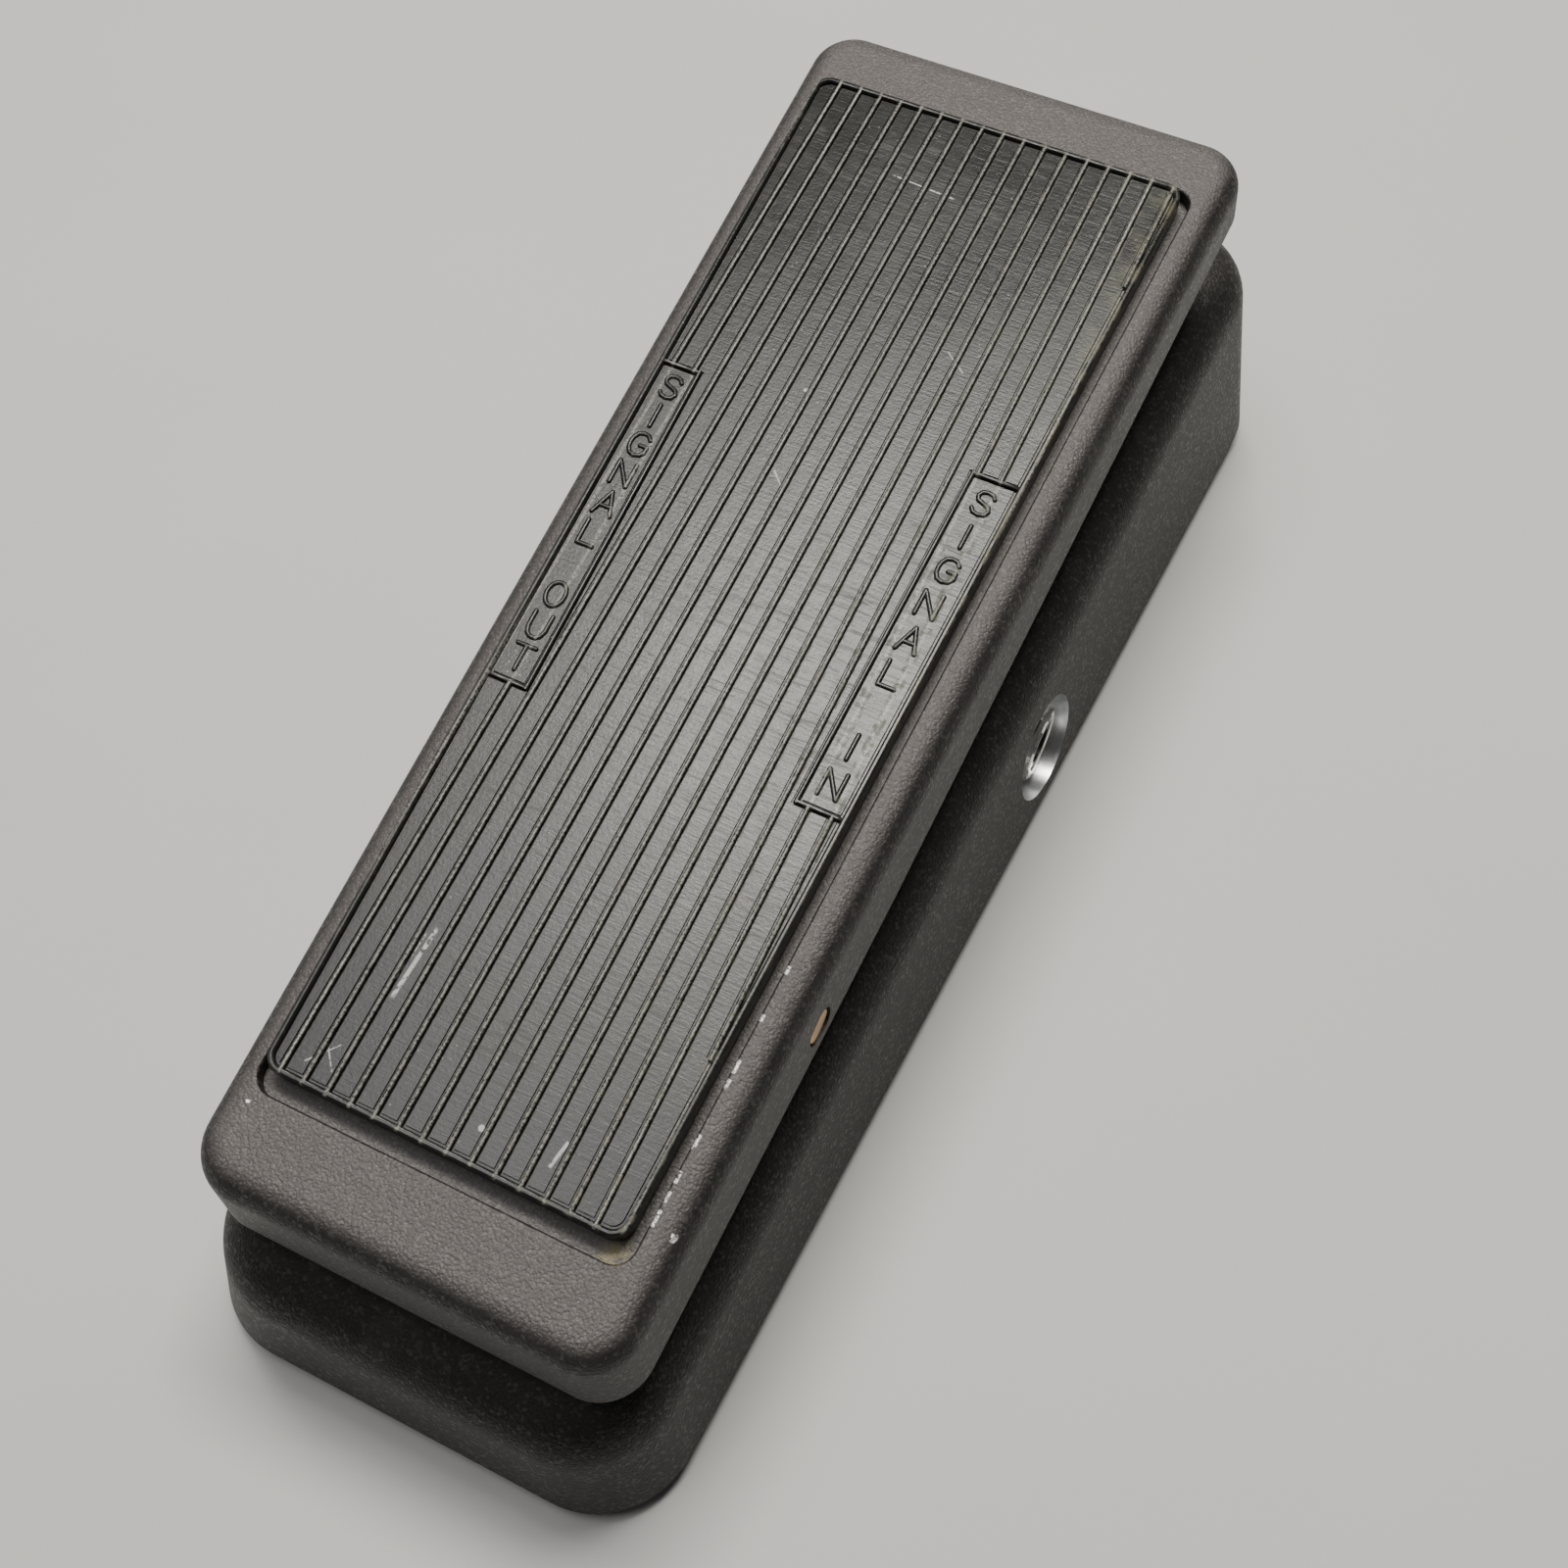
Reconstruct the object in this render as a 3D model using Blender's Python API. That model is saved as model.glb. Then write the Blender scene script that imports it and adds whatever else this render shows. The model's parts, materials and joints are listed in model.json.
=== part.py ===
"""Volume pedal: a rocker foot pedal in a die-cast housing.

A drafted, wedge-shaped base stands on four rubber feet.  A treadle with a
ribbed rubber tread rocks on a steel pin across the base.  Under the treadle a
bracket drives a vertical gear rack, which turns the pinion on the shaft of a
potentiometer inside the base.  One jack on each side carries the signal.

Frame: +Z up, +Y towards the toe, +X to the input side, origin on the surface
the feet stand on, midway along and across the base.  Dimensions are in
millimetres here and are turned into metres by MM.
"""
import math

import bmesh
import bpy
from mathutils import Matrix, Vector

MM = 0.001

# ------------------------------------------------------------ dimensions, mm
BASE_LENGTH = 255.0
BASE_HALF_HEEL = 40.5          # half width of the foot of the wall, heel end
BASE_HALF_TOE = 51.6           # the same at the toe end
BASE_FLOOR = 3.5               # underside of the casting
BASE_TOP_HEEL = 27.0           # height of the top face at the heel end
BASE_TOP_TOE = 46.6            # and at the toe end
BASE_DRAFT = 0.175             # inward lean of the side walls, mm per mm of height
BASE_DRAFT_HEEL = 0.18         # the same on the heel wall
BASE_DRAFT_TOE = 0.06          # and on the toe wall
BASE_CORNER = 15.0             # plan radius of the corners
BASE_SHOULDER = 8.0            # radius of the top edge
BASE_WALL = 3.0
SLOPE = (BASE_TOP_TOE - BASE_TOP_HEEL) / BASE_LENGTH

PIVOT_Y, PIVOT_Z = -56.2, 47.0  # axis of the treadle pin
REST_TILT = math.radians(6.0)   # the treadle rises this much towards the toe

# treadle, in its own frame: origin on the pin, Y along the plate, Z square to it
TR_HEEL, TR_TOE = -57.9, 167.6
TR_TOP = 11.9
TR_BOTTOM = -4.9               # lower edge of the skirt, heel part
TR_BOTTOM_TOE = 1.5            # lower edge of the skirt at the toe
TR_KNEE = 24.0                 # the lower edge starts to rise here
TR_HALF_HEEL, TR_HALF_TOE = 34.2, 40.0
TR_DRAFT = 0.06                # outward lean of the skirt, sides and toe
TR_DRAFT_HEEL = 0.15           # and at the heel
TR_CORNER = 8.0
TR_EDGE = 4.5
TR_WALL = 2.8
PLATE_TOP = 9.4                # floor of the recess that holds the tread
PLATE_UNDER = 6.4
PIN_R = 3.0
PIN_END = 36.2

PAD_HEEL, PAD_TOE = -40.7, 154.0
PAD_HALF_HEEL, PAD_HALF_TOE = 28.8, 34.0
PAD_SHIFT = -1.5
RECESS_HEEL, RECESS_TOE = -43.7, 154.4
RECESS_HALF_HEEL, RECESS_HALF_TOE = 29.7, 35.0
RECESS_SHIFT = -0.8
PAD_TOP = 13.4
PAD_BOTTOM = 9.7

JACK_Y, JACK_Z = 19.9, 15.7
SPOTFACE_R = 10.0
SPOTFACE_X = 41.6              # flat seat of the jack nut
PANEL_X = 36.5                 # inner face of the jack panel

RACK_ARM = 99.2                # from the treadle pin to the rack pin, along Y
RACK_PIN_Z = 58.0
RACK_Y = PIVOT_Y + RACK_ARM
MODULE = 0.8
TEETH = 14
PITCH_R = MODULE * TEETH / 2.0
ADDENDUM, DEDENDUM = 0.60, 0.95
PITCH_LINE_Y = 44.4
PINION_Y = PITCH_LINE_Y + PITCH_R + 0.1
PINION_Z = 27.1

BOSSES = [(-28.0, -107.0), (28.0, -107.0), (-33.0, 104.0), (33.0, 104.0)]
HEEL_STOPS = [(-16.0, -102.0), (16.0, -102.0)]
TOE_STOPS = [(-20.0, 93.0), (20.0, 93.0)]

# ------------------------------------------------------------------ clean up
for old in list(bpy.data.objects):
    bpy.data.objects.remove(old, do_unlink=True)

scene = bpy.context.scene
parts = bpy.data.collections.new("volume_pedal")
cutters = bpy.data.collections.new("cutters")
scene.collection.children.link(parts)
scene.collection.children.link(cutters)


def material(name, rgb, roughness, metallic=0.0):
    mat = bpy.data.materials.new(name)
    mat.use_nodes = True
    bsdf = mat.node_tree.nodes["Principled BSDF"]
    bsdf.inputs["Base Color"].default_value = (*rgb, 1.0)
    bsdf.inputs["Roughness"].default_value = roughness
    bsdf.inputs["Metallic"].default_value = metallic
    mat.diffuse_color = (*rgb, 1.0)
    return mat


LOOK = {
    "casting": ((0.035, 0.033, 0.034), 0.55, 0.3),
    "rubber": ((0.030, 0.031, 0.031), 0.50, 0.0),
    "foot": ((0.015, 0.015, 0.015), 0.80, 0.0),
    "steel": ((0.55, 0.55, 0.54), 0.35, 1.0),
    "plate": ((0.45, 0.46, 0.46), 0.45, 1.0),
    "brass": ((0.60, 0.38, 0.14), 0.35, 1.0),
    "nickel": ((0.72, 0.72, 0.71), 0.20, 1.0),
    "nylon": ((0.78, 0.76, 0.70), 0.50, 0.0),
    "moulding": ((0.02, 0.02, 0.02), 0.45, 0.0),
    "wire_red": ((0.45, 0.03, 0.02), 0.45, 0.0),
    "wire_black": ((0.02, 0.02, 0.02), 0.45, 0.0),
    "wire_white": ((0.70, 0.69, 0.66), 0.45, 0.0),
}

# ------------------------------------------------------------ shape functions


def new_box(x0, x1, y0, y1, z0, z1, bevel=0.0, segments=2):
    bm = bmesh.new()
    bmesh.ops.create_cube(bm, size=1.0)
    for v in bm.verts:
        v.co = Vector((x0 if v.co.x < 0 else x1,
                       y0 if v.co.y < 0 else y1,
                       z0 if v.co.z < 0 else z1)) * MM
    if bevel:
        bmesh.ops.bevel(bm, geom=bm.edges[:], offset=bevel * MM, segments=segments,
                        profile=0.5, affect='EDGES')
    return bm


def new_cylinder(axis, radius, a0, a1, centre, segments=32, radius2=None):
    """A cylinder along axis from a0 to a1; centre is its other two coordinates."""
    bm = bmesh.new()
    bmesh.ops.create_cone(bm, cap_ends=True, segments=segments,
                          radius1=radius * MM, radius2=(radius2 or radius) * MM,
                          depth=(a1 - a0) * MM)
    mid = (a0 + a1) / 2.0
    if axis == 'X':
        turn = Matrix.Rotation(math.radians(90.0), 4, 'Y')
        place = Vector((mid, centre[0], centre[1]))
    elif axis == 'Y':
        turn = Matrix.Rotation(math.radians(-90.0), 4, 'X')
        place = Vector((centre[0], mid, centre[1]))
    else:
        turn = Matrix.Identity(4)
        place = Vector((centre[0], centre[1], mid))
    bmesh.ops.transform(bm, matrix=Matrix.Translation(place * MM) @ turn, verts=bm.verts)
    return bm


def new_wedge(corners, vertical=0.0, top=0.0, v_seg=5, t_seg=3):
    """A block with six flat sides from eight corners, keyed by the signs of
    (x, y, z), with its upright edges and its top edge rounded."""
    bm = bmesh.new()
    bmesh.ops.create_cube(bm, size=1.0)
    for v in bm.verts:
        key = (v.co.x > 0, v.co.y > 0, v.co.z > 0)
        v.co = Vector(corners[key]) * MM
    top_normal = max((f.normal for f in bm.faces), key=lambda n: n.z).copy()
    bm.normal_update()
    if vertical:
        upright = [e for e in bm.edges
                   if abs((e.verts[0].co - e.verts[1].co).normalized().z) > 0.7]
        bmesh.ops.bevel(bm, geom=upright, offset=vertical * MM, segments=v_seg,
                        profile=0.5, affect='EDGES')
    if top:
        bm.normal_update()
        cap = max(bm.faces, key=lambda f: (round(f.normal.z, 3), f.calc_area()))
        bmesh.ops.bevel(bm, geom=list(cap.edges), offset=top * MM, segments=t_seg,
                        profile=0.5, affect='EDGES')
    return bm


def merge(*meshes):
    """Put several bodies that do not meet into one mesh."""
    out = bmesh.new()
    for bm in meshes:
        data = bpy.data.meshes.new("tmp")
        bm.to_mesh(data)
        bm.free()
        out.from_mesh(data)
        bpy.data.meshes.remove(data)
    return out


def shade(mesh, angle=35.0):
    mesh.shade_smooth()
    mesh.set_sharp_from_angle(angle=math.radians(angle))


def make(name, bm, look, parent=None, collection=None):
    bmesh.ops.recalc_face_normals(bm, faces=bm.faces)
    mesh = bpy.data.meshes.new(name)
    bm.to_mesh(mesh)
    bm.free()
    shade(mesh)
    obj = bpy.data.objects.new(name, mesh)
    (collection or parts).objects.link(obj)
    if look:
        rgb, roughness, metallic = LOOK[look]
        obj.data.materials.append(material(name, rgb, roughness, metallic))
    if parent is not None:
        obj.parent = parent
    return obj


def boolean(obj, bm, operation='DIFFERENCE'):
    """Cut or join a helper shape that lies in the object's own frame."""
    tool = make("%s_tool_%d" % (obj.name, len(cutters.objects)), bm, None,
                parent=obj.parent, collection=cutters)
    tool.hide_render = True
    tool.display_type = 'WIRE'
    mod = obj.modifiers.new("bool", 'BOOLEAN')
    mod.operation = operation
    mod.solver = 'EXACT'
    mod.object = tool
    return mod


def new_ring(axis, r_out, r_in, a0, a1, centre, segments=32):
    """A washer or bush turned as one closed ring."""
    bm = bmesh.new()
    loops = []
    for i in range(segments):
        t = 2.0 * math.pi * i / segments
        c, s = math.cos(t), math.sin(t)
        ring = []
        for r, a in ((r_out, a0), (r_out, a1), (r_in, a1), (r_in, a0)):
            if axis == 'X':
                p = (a, centre[0] + r * c, centre[1] + r * s)
            elif axis == 'Y':
                p = (centre[0] + r * s, a, centre[1] + r * c)
            else:
                p = (centre[0] + r * c, centre[1] + r * s, a)
            ring.append(bm.verts.new(Vector(p) * MM))
        loops.append(ring)
    for i in range(segments):
        a, b = loops[i], loops[(i + 1) % segments]
        for k in range(4):
            bm.faces.new((a[k], b[k], b[(k + 1) % 4], a[(k + 1) % 4]))
    return bm


def new_nut(axis, flats, r_in, a0, a1, centre, turn=0.0):
    """A hexagon nut, its bore open; the hexagon has four points to a side so
    that its ring of corners matches the bore's."""
    bm = bmesh.new()
    n = 24
    loops = []
    for i in range(n):
        t = 2.0 * math.pi * i / n
        k = (t % (math.pi / 3.0)) - math.pi / 6.0
        r_hex = (flats / 2.0) / math.cos(k)
        c, s = math.cos(t + turn), math.sin(t + turn)
        ring = []
        for r, a in ((r_hex, a0), (r_hex, a1), (r_in, a1), (r_in, a0)):
            if axis == 'X':
                p = (a, centre[0] + r * c, centre[1] + r * s)
            elif axis == 'Y':
                p = (centre[0] + r * s, a, centre[1] + r * c)
            else:
                p = (centre[0] + r * c, centre[1] + r * s, a)
            ring.append(bm.verts.new(Vector(p) * MM))
        loops.append(ring)
    for i in range(n):
        a, b = loops[i], loops[(i + 1) % n]
        for k in range(4):
            bm.faces.new((a[k], b[k], b[(k + 1) % 4], a[(k + 1) % 4]))
    return bm


def new_prism(points, axis, a0, a1):
    """A flat outline extruded along an axis."""
    bm = bmesh.new()

    def place(p, a):
        if axis == 'X':
            return Vector((a, p[0], p[1])) * MM
        if axis == 'Y':
            return Vector((p[0], a, p[1])) * MM
        return Vector((p[0], p[1], a)) * MM
    low = [bm.verts.new(place(p, a0)) for p in points]
    face = bm.faces.new(low)
    ext = bmesh.ops.extrude_face_region(bm, geom=[face])
    shift = place((0.0, 0.0), a1 - a0)
    for g in ext['geom']:
        if isinstance(g, bmesh.types.BMVert):
            g.co += shift
    return bm


# --------------------------------------------------------------- base casting
def base_top(y):
    return BASE_TOP_HEEL + SLOPE * (y + BASE_LENGTH / 2.0)


def base_half(y, z):
    """Half width of the drafted wall at y and height z."""
    f = (y + BASE_LENGTH / 2.0) / BASE_LENGTH
    return (BASE_HALF_HEEL + (BASE_HALF_TOE - BASE_HALF_HEEL) * f
            - BASE_DRAFT * (z - BASE_FLOOR))


def base_block(inset, drop, z0):
    """Corners of the wedge whose walls lie inset inside the outer walls and
    whose top face lies drop below the outer one."""
    half_length = BASE_LENGTH / 2.0 - inset
    corners = {}
    for sy in (False, True):
        sign = 1.0 if sy else -1.0
        for up in (False, True):
            k = (BASE_DRAFT_TOE if sy else BASE_DRAFT_HEEL) * sign
            if up:
                # meet of the end wall with the top face
                z = ((BASE_TOP_HEEL - drop + SLOPE * (BASE_LENGTH / 2.0 + sign * half_length)
                      + SLOPE * k * BASE_FLOOR) / (1.0 + SLOPE * k))
            else:
                z = z0
            y = sign * half_length - k * (z - BASE_FLOOR)
            x = base_half(y, z) - inset
            for sx in (False, True):
                corners[(sx, sy, up)] = (x if sx else -x, y, z)
    return corners


base_housing = make("base_housing",
                    new_wedge(base_block(0.0, 0.0, BASE_FLOOR), BASE_CORNER, BASE_SHOULDER, 6, 4),
                    "casting")
boolean(base_housing, new_wedge(base_block(BASE_WALL, BASE_WALL, BASE_FLOOR - 2.0),
                                BASE_CORNER - BASE_WALL, BASE_SHOULDER - BASE_WALL, 5, 2))

# step in the foot of the wall that takes the bottom plate
PLATE_INSET = 1.4
step = base_block(PLATE_INSET, 0.0, BASE_FLOOR - 2.0)
for key in list(step):
    if key[2]:
        step[key] = (step[(key[0], key[1], False)][0], step[(key[0], key[1], False)][1],
                     BASE_FLOOR + 1.5)
boolean(base_housing, new_wedge(step, BASE_CORNER - PLATE_INSET, 0.0, 5))

# posts for the bottom screws, seats for the stops, posts for the pot bracket
adds = []
for bx, by in BOSSES:
    adds.append(new_cylinder('Z', 4.0, BASE_FLOOR + 1.5, base_top(by) - 1.4, (bx, by), 20))
for sx, sy in HEEL_STOPS:
    adds.append(new_cylinder('Z', 7.0, base_top(sy) - 2.0, 30.2, (sx, sy), 24))
for sx, sy in TOE_STOPS:
    adds.append(new_cylinder('Z', 7.0, base_top(sy) - 2.0, 44.6, (sx, sy), 24))
EARS = [(-17.0, 34.7), (-17.0, 66.0)]
for ex, ey in EARS:
    adds.append(new_cylinder('Z', 3.5, 34.5, base_top(ey) - 1.2, (ex, ey), 16))
boolean(base_housing, merge(*adds), 'UNION')

# pedestals that carry the pin, and the pad under the friction clamp
LUG_R = 6.0
LUG_X = (17.0, 25.0)
for side in (-1.0, 1.0):
    x0, x1 = sorted((side * LUG_X[0], side * LUG_X[1]))
    outline = []
    for i in range(13):
        t = math.pi * i / 12.0
        outline.append((PIVOT_Y + LUG_R * math.cos(t), PIVOT_Z + LUG_R * math.sin(t)))
    outline.append((PIVOT_Y - LUG_R - 1.5, base_top(PIVOT_Y) - 1.6))
    outline.append((PIVOT_Y + LUG_R + 1.5, base_top(PIVOT_Y) - 1.6))
    boolean(base_housing, new_prism(outline, 'X', x0, x1), 'UNION')
boolean(base_housing, new_box(-8.0, 8.0, -70.0, -48.0, 30.4, 33.6), 'UNION')

# thick panels behind the jacks, following the lean of the wall
for side in (-1.0, 1.0):
    panel = {}
    for sy in (False, True):
        y = JACK_Y + (12.0 if sy else -12.0)
        for up in (False, True):
            z = 28.5 if up else BASE_FLOOR + 1.5
            outer = base_half(y, z) - 1.5
            near, far = side * PANEL_X, side * outer
            lo, hi = sorted((near, far))
            panel[(False, sy, up)] = (lo, y, z)
            panel[(True, sy, up)] = (hi, y, z)
    boolean(base_housing, new_wedge(panel), 'UNION')

cuts = []
for side in (-1.0, 1.0):
    a, b = sorted((side * SPOTFACE_X, side * 52.0))
    boolean(base_housing, new_cylinder('X', SPOTFACE_R, a, b, (JACK_Y, JACK_Z), 40))
    a, b = sorted((side * 33.0, side * 46.0))
    cuts.append(new_cylinder('X', 4.95, a, b, (JACK_Y, JACK_Z), 28))
for bx, by in BOSSES:
    cuts.append(new_cylinder('Z', 1.8, 1.0, 19.0, (bx, by), 12))
for ex, ey in EARS:
    cuts.append(new_cylinder('Z', 1.6, 33.0, base_top(ey) - 2.2, (ex, ey), 12))
cuts.append(new_box(-4.6, 4.6, 38.4, 47.6, 28.0, 50.0))
cuts.append(new_cylinder('X', 4.5, -28.0, -14.0, (PIVOT_Y, PIVOT_Z), 28))
cuts.append(new_cylinder('X', 4.5, 14.0, 28.0, (PIVOT_Y, PIVOT_Z), 28))
cuts.append(new_cylinder('Z', 1.8, 26.0, 36.0, (0.0, PIVOT_Y - 8.2), 12))
boolean(base_housing, merge(*cuts))

# --------------------------------------------------------------- bottom plate
plate = {}
edge = PLATE_INSET + 0.4
for sy in (False, True):
    for up in (False, True):
        z = BASE_FLOOR + (1.2 if up else 0.0)
        y = (1.0 if sy else -1.0) * (BASE_LENGTH / 2.0 - edge)
        for sx in (False, True):
            x = base_half(y, BASE_FLOOR) - edge
            plate[(sx, sy, up)] = (x if sx else -x, y, z)
bottom_plate = make("bottom_plate", new_wedge(plate, BASE_CORNER - edge, 0.0, 5), "plate")
boolean(bottom_plate, merge(*[new_cylinder('Z', 2.0, 1.0, 8.0, (bx, by), 16)
                              for bx, by in BOSSES]))

# ------------------------------------------------------- feet and their screws
CORNER_NAMES = ["heel_left", "heel_right", "toe_left", "toe_right"]
for (bx, by), corner in zip(BOSSES, CORNER_NAMES):
    foot = make("rubber_foot_" + corner,
                new_cylinder('Z', 8.0, 0.0, 3.2, (bx, by), 28, 7.2), "foot")
    boolean(foot, new_cylinder('Z', 3.8, -1.0, 2.2, (bx, by), 20))
    boolean(foot, new_cylinder('Z', 2.0, 1.5, 5.0, (bx, by), 16))
    screw = make("foot_screw_" + corner,
                 new_cylinder('Z', 1.45, 1.6, 15.0, (bx, by), 14), "steel")
    boolean(screw, new_cylinder('Z', 3.3, 0.5, 1.9, (bx, by), 18), 'UNION')

# ----------------------------------------------------------------- stop pads
for (sx, sy), side in zip(HEEL_STOPS, ("left", "right")):
    make("heel_bumper_" + side, new_cylinder('Z', 5.5, 30.5, 32.6, (sx, sy), 24), "foot")
for (sx, sy), side in zip(TOE_STOPS, ("left", "right")):
    make("toe_bumper_" + side, new_cylinder('Z', 5.5, 44.9, 46.8, (sx, sy), 24), "foot")

# --------------------------------------------------------------------- jacks
for side, label in ((1.0, "input"), (-1.0, "output")):
    def span(a, b):
        return tuple(sorted((side * a, side * b)))
    a, b = span(12.2, 36.2)
    jack = make(label + "_jack",
                new_box(a, b, JACK_Y - 8.0, JACK_Y + 8.0, JACK_Z - 8.0, JACK_Z + 8.0, 1.2, 1),
                "moulding")
    a, b = span(35.0, 43.8)
    boolean(jack, new_cylinder('X', 4.6, a, b, (JACK_Y, JACK_Z), 28), 'UNION')
    a, b = span(8.6, 13.0)
    boolean(jack, merge(new_box(a, b, JACK_Y + 3.0, JACK_Y + 6.0, JACK_Z + 4.0, JACK_Z + 4.8),
                        new_box(a, b, JACK_Y + 3.0, JACK_Y + 6.0, JACK_Z - 4.8, JACK_Z - 4.0)),
            'UNION')
    a, b = span(14.0, 45.0)
    boolean(jack, new_cylinder('X', 3.25, a, b, (JACK_Y, JACK_Z), 24))
    a, b = span(41.8, 42.3)
    make(label + "_jack_washer", new_ring('X', 7.8, 4.95, a, b, (JACK_Y, JACK_Z), 32), "nickel")
    a, b = span(42.6, 44.0)
    make(label + "_jack_nut",
         new_nut('X', 12.0, 4.95, a, b, (JACK_Y, JACK_Z), math.radians(30.0)), "nickel")

# ------------------------------------------------- pot bracket, pot and nut
pot_bracket = make("pot_bracket", new_box(-10.5, -9.0, 31.0, 70.0, 8.0, 34.2), "plate")
boolean(pot_bracket, merge(new_box(-24.0, -9.6, 31.0, 38.4, 32.7, 34.2),
                           new_box(-24.0, -9.6, 62.0, 70.0, 32.7, 34.2)), 'UNION')
boolean(pot_bracket, merge(new_cylinder('X', 4.9, -13.0, -7.0, (PINION_Y, PINION_Z), 24),
                           new_cylinder('X', 1.8, -13.0, -7.0, (35.5, 26.0), 14),
                           new_cylinder('Z', 1.7, 30.0, 37.0, EARS[0], 12),
                           new_cylinder('Z', 1.7, 30.0, 37.0, EARS[1], 12)))
for (ex, ey), end in zip(EARS, ("heel", "toe")):
    screw = make("bracket_screw_" + end, new_cylinder('Z', 1.25, 31.8, 36.0, (ex, ey), 12), "steel")
    boolean(screw, new_cylinder('Z', 2.7, 30.9, 32.4, (ex, ey), 16), 'UNION')

potentiometer = make("potentiometer",
                     new_cylinder('X', 9.6, -20.5, -10.8, (PINION_Y, PINION_Z), 36), "plate")
boolean(potentiometer, new_cylinder('X', 4.55, -12.0, -5.6, (PINION_Y, PINION_Z), 24), 'UNION')
boolean(potentiometer, merge(*[new_box(-12.4, -11.5, PINION_Y - 15.0, PINION_Y - 7.0,
                                       PINION_Z + dz - 1.1, PINION_Z + dz + 1.1)
                               for dz in (-4.5, 0.0, 4.5)]), 'UNION')
boolean(potentiometer, new_cylinder('X', 3.3, -14.4, -2.0, (PINION_Y, PINION_Z), 24))
make("pot_washer", new_ring('X', 6.6, 4.9, -8.7, -8.2, (PINION_Y, PINION_Z), 24), "nickel")
make("pot_nut", new_nut('X', 11.6, 4.9, -7.9, -5.9, (PINION_Y, PINION_Z)), "nickel")

# guide that keeps the rack against the pinion, with a stud into the bracket
rack_guide = make("rack_guide", new_box(-8.7, 4.8, 36.0, 40.2, 19.0, 33.0), "nylon")
boolean(rack_guide, new_box(-8.7, -6.4, 32.0, 37.0, 21.0, 31.0), 'UNION')
boolean(rack_guide, new_cylinder('X', 1.5, -11.1, -7.6, (35.5, 26.0), 14), 'UNION')

# ----------------------------------------------------- pin bushes, pin clamp
for side, label in ((-1.0, "left"), (1.0, "right")):
    a, b = sorted((side * 16.9, side * 26.3))
    bush = make("pivot_bush_" + label,
                new_cylinder('X', 4.25, a, b, (PIVOT_Y, PIVOT_Z), 28), "nylon")
    a, b = sorted((side * 25.3, side * 26.3))
    boolean(bush, new_cylinder('X', 5.6, a, b, (PIVOT_Y, PIVOT_Z), 28), 'UNION')
    boolean(bush, new_cylinder('X', PIN_R + 0.2, -40.0, 40.0, (PIVOT_Y, PIVOT_Z), 24))

SCREW_Y = PIVOT_Y - 8.2
tension_clamp = make("tension_clamp",
                     new_box(-6.0, 6.0, PIVOT_Y - 5.4, PIVOT_Y + 5.4, 33.9, PIVOT_Z + 4.7, 0.8, 1),
                     "plate")
boolean(tension_clamp, new_box(-6.0, 6.0, PIVOT_Y - 11.6, PIVOT_Y - 4.4, 33.9, PIVOT_Z + 1.6), 'UNION')
boolean(tension_clamp, new_cylinder('X', PIN_R + 0.2, -9.0, 9.0, (PIVOT_Y, PIVOT_Z), 24))
boolean(tension_clamp, new_box(-9.0, 9.0, PIVOT_Y - 14.0, PIVOT_Y - 1.0, PIVOT_Z - 1.4, PIVOT_Z - 0.4))
boolean(tension_clamp, new_cylinder('Z', 1.8, 30.0, 55.0, (0.0, SCREW_Y), 14))
tension_screw = make("tension_screw",
                     new_cylinder('Z', 1.45, 30.0, PIVOT_Z + 2.4, (0.0, SCREW_Y), 14), "steel")
boolean(tension_screw, new_cylinder('Z', 2.6, PIVOT_Z + 1.9, PIVOT_Z + 3.3, (0.0, SCREW_Y), 18), 'UNION')

# --------------------------------------------------------------------- wires


def wire(name, points, look, radius=0.7):
    """A wire on a smooth curve through its points, sampled evenly."""
    pts = [Vector(p) for p in points]
    path = []
    ext = [pts[0] * 2 - pts[1]] + pts + [pts[-1] * 2 - pts[-2]]
    for i in range(1, len(ext) - 2):
        p0, p1, p2, p3 = ext[i - 1], ext[i], ext[i + 1], ext[i + 2]
        for k in range(5):
            t = k / 5.0
            path.append(0.5 * ((2 * p1) + (p2 - p0) * t + (2 * p0 - 5 * p1 + 4 * p2 - p3) * t * t
                               + (3 * p1 - p0 - 3 * p2 + p3) * t * t * t))
    path.append(pts[-1])
    curve = bpy.data.curves.new(name, 'CURVE')
    curve.dimensions = '3D'
    curve.bevel_depth = radius * MM
    curve.bevel_resolution = 2
    curve.use_fill_caps = True
    spline = curve.splines.new('POLY')
    spline.points.add(len(path) - 1)
    for sp, p in zip(spline.points, path):
        sp.co = (*(p * MM), 1.0)
    obj = bpy.data.objects.new(name, curve)
    parts.objects.link(obj)
    rgb, roughness, metallic = LOOK[look]
    curve.materials.append(material(name, rgb, roughness, metallic))
    return obj


POT_LUG_Y = PINION_Y - 15.4
wire("input_wire", [(7.6, 23.5, 20.9), (4.0, 24.6, 23.0), (-3.0, 26.6, 28.4), (-9.4, 28.2, 31.2),
                    (-12.4, 30.4, 31.6), (-12.6, POT_LUG_Y, 31.6)], "wire_red")
wire("output_wire", [(-7.6, 23.5, 20.9), (-8.2, 26.2, 23.0), (-12.2, 29.9, 26.4),
                     (-12.6, 31.8, 27.0), (-12.6, POT_LUG_Y, 27.1)], "wire_white")
wire("pot_ground_wire", [(-7.6, 23.5, 12.1), (-8.2, 26.6, 14.0), (-12.2, 30.0, 20.4),
                         (-12.6, 31.8, 22.2), (-12.6, POT_LUG_Y, 22.6)], "wire_black")
wire("ground_link_wire", [(7.6, 22.0, 12.1), (4.0, 20.0, 9.6), (0.0, 19.0, 8.6),
                          (-4.0, 19.0, 9.6), (-7.2, 20.4, 12.0)], "wire_black")

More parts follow.
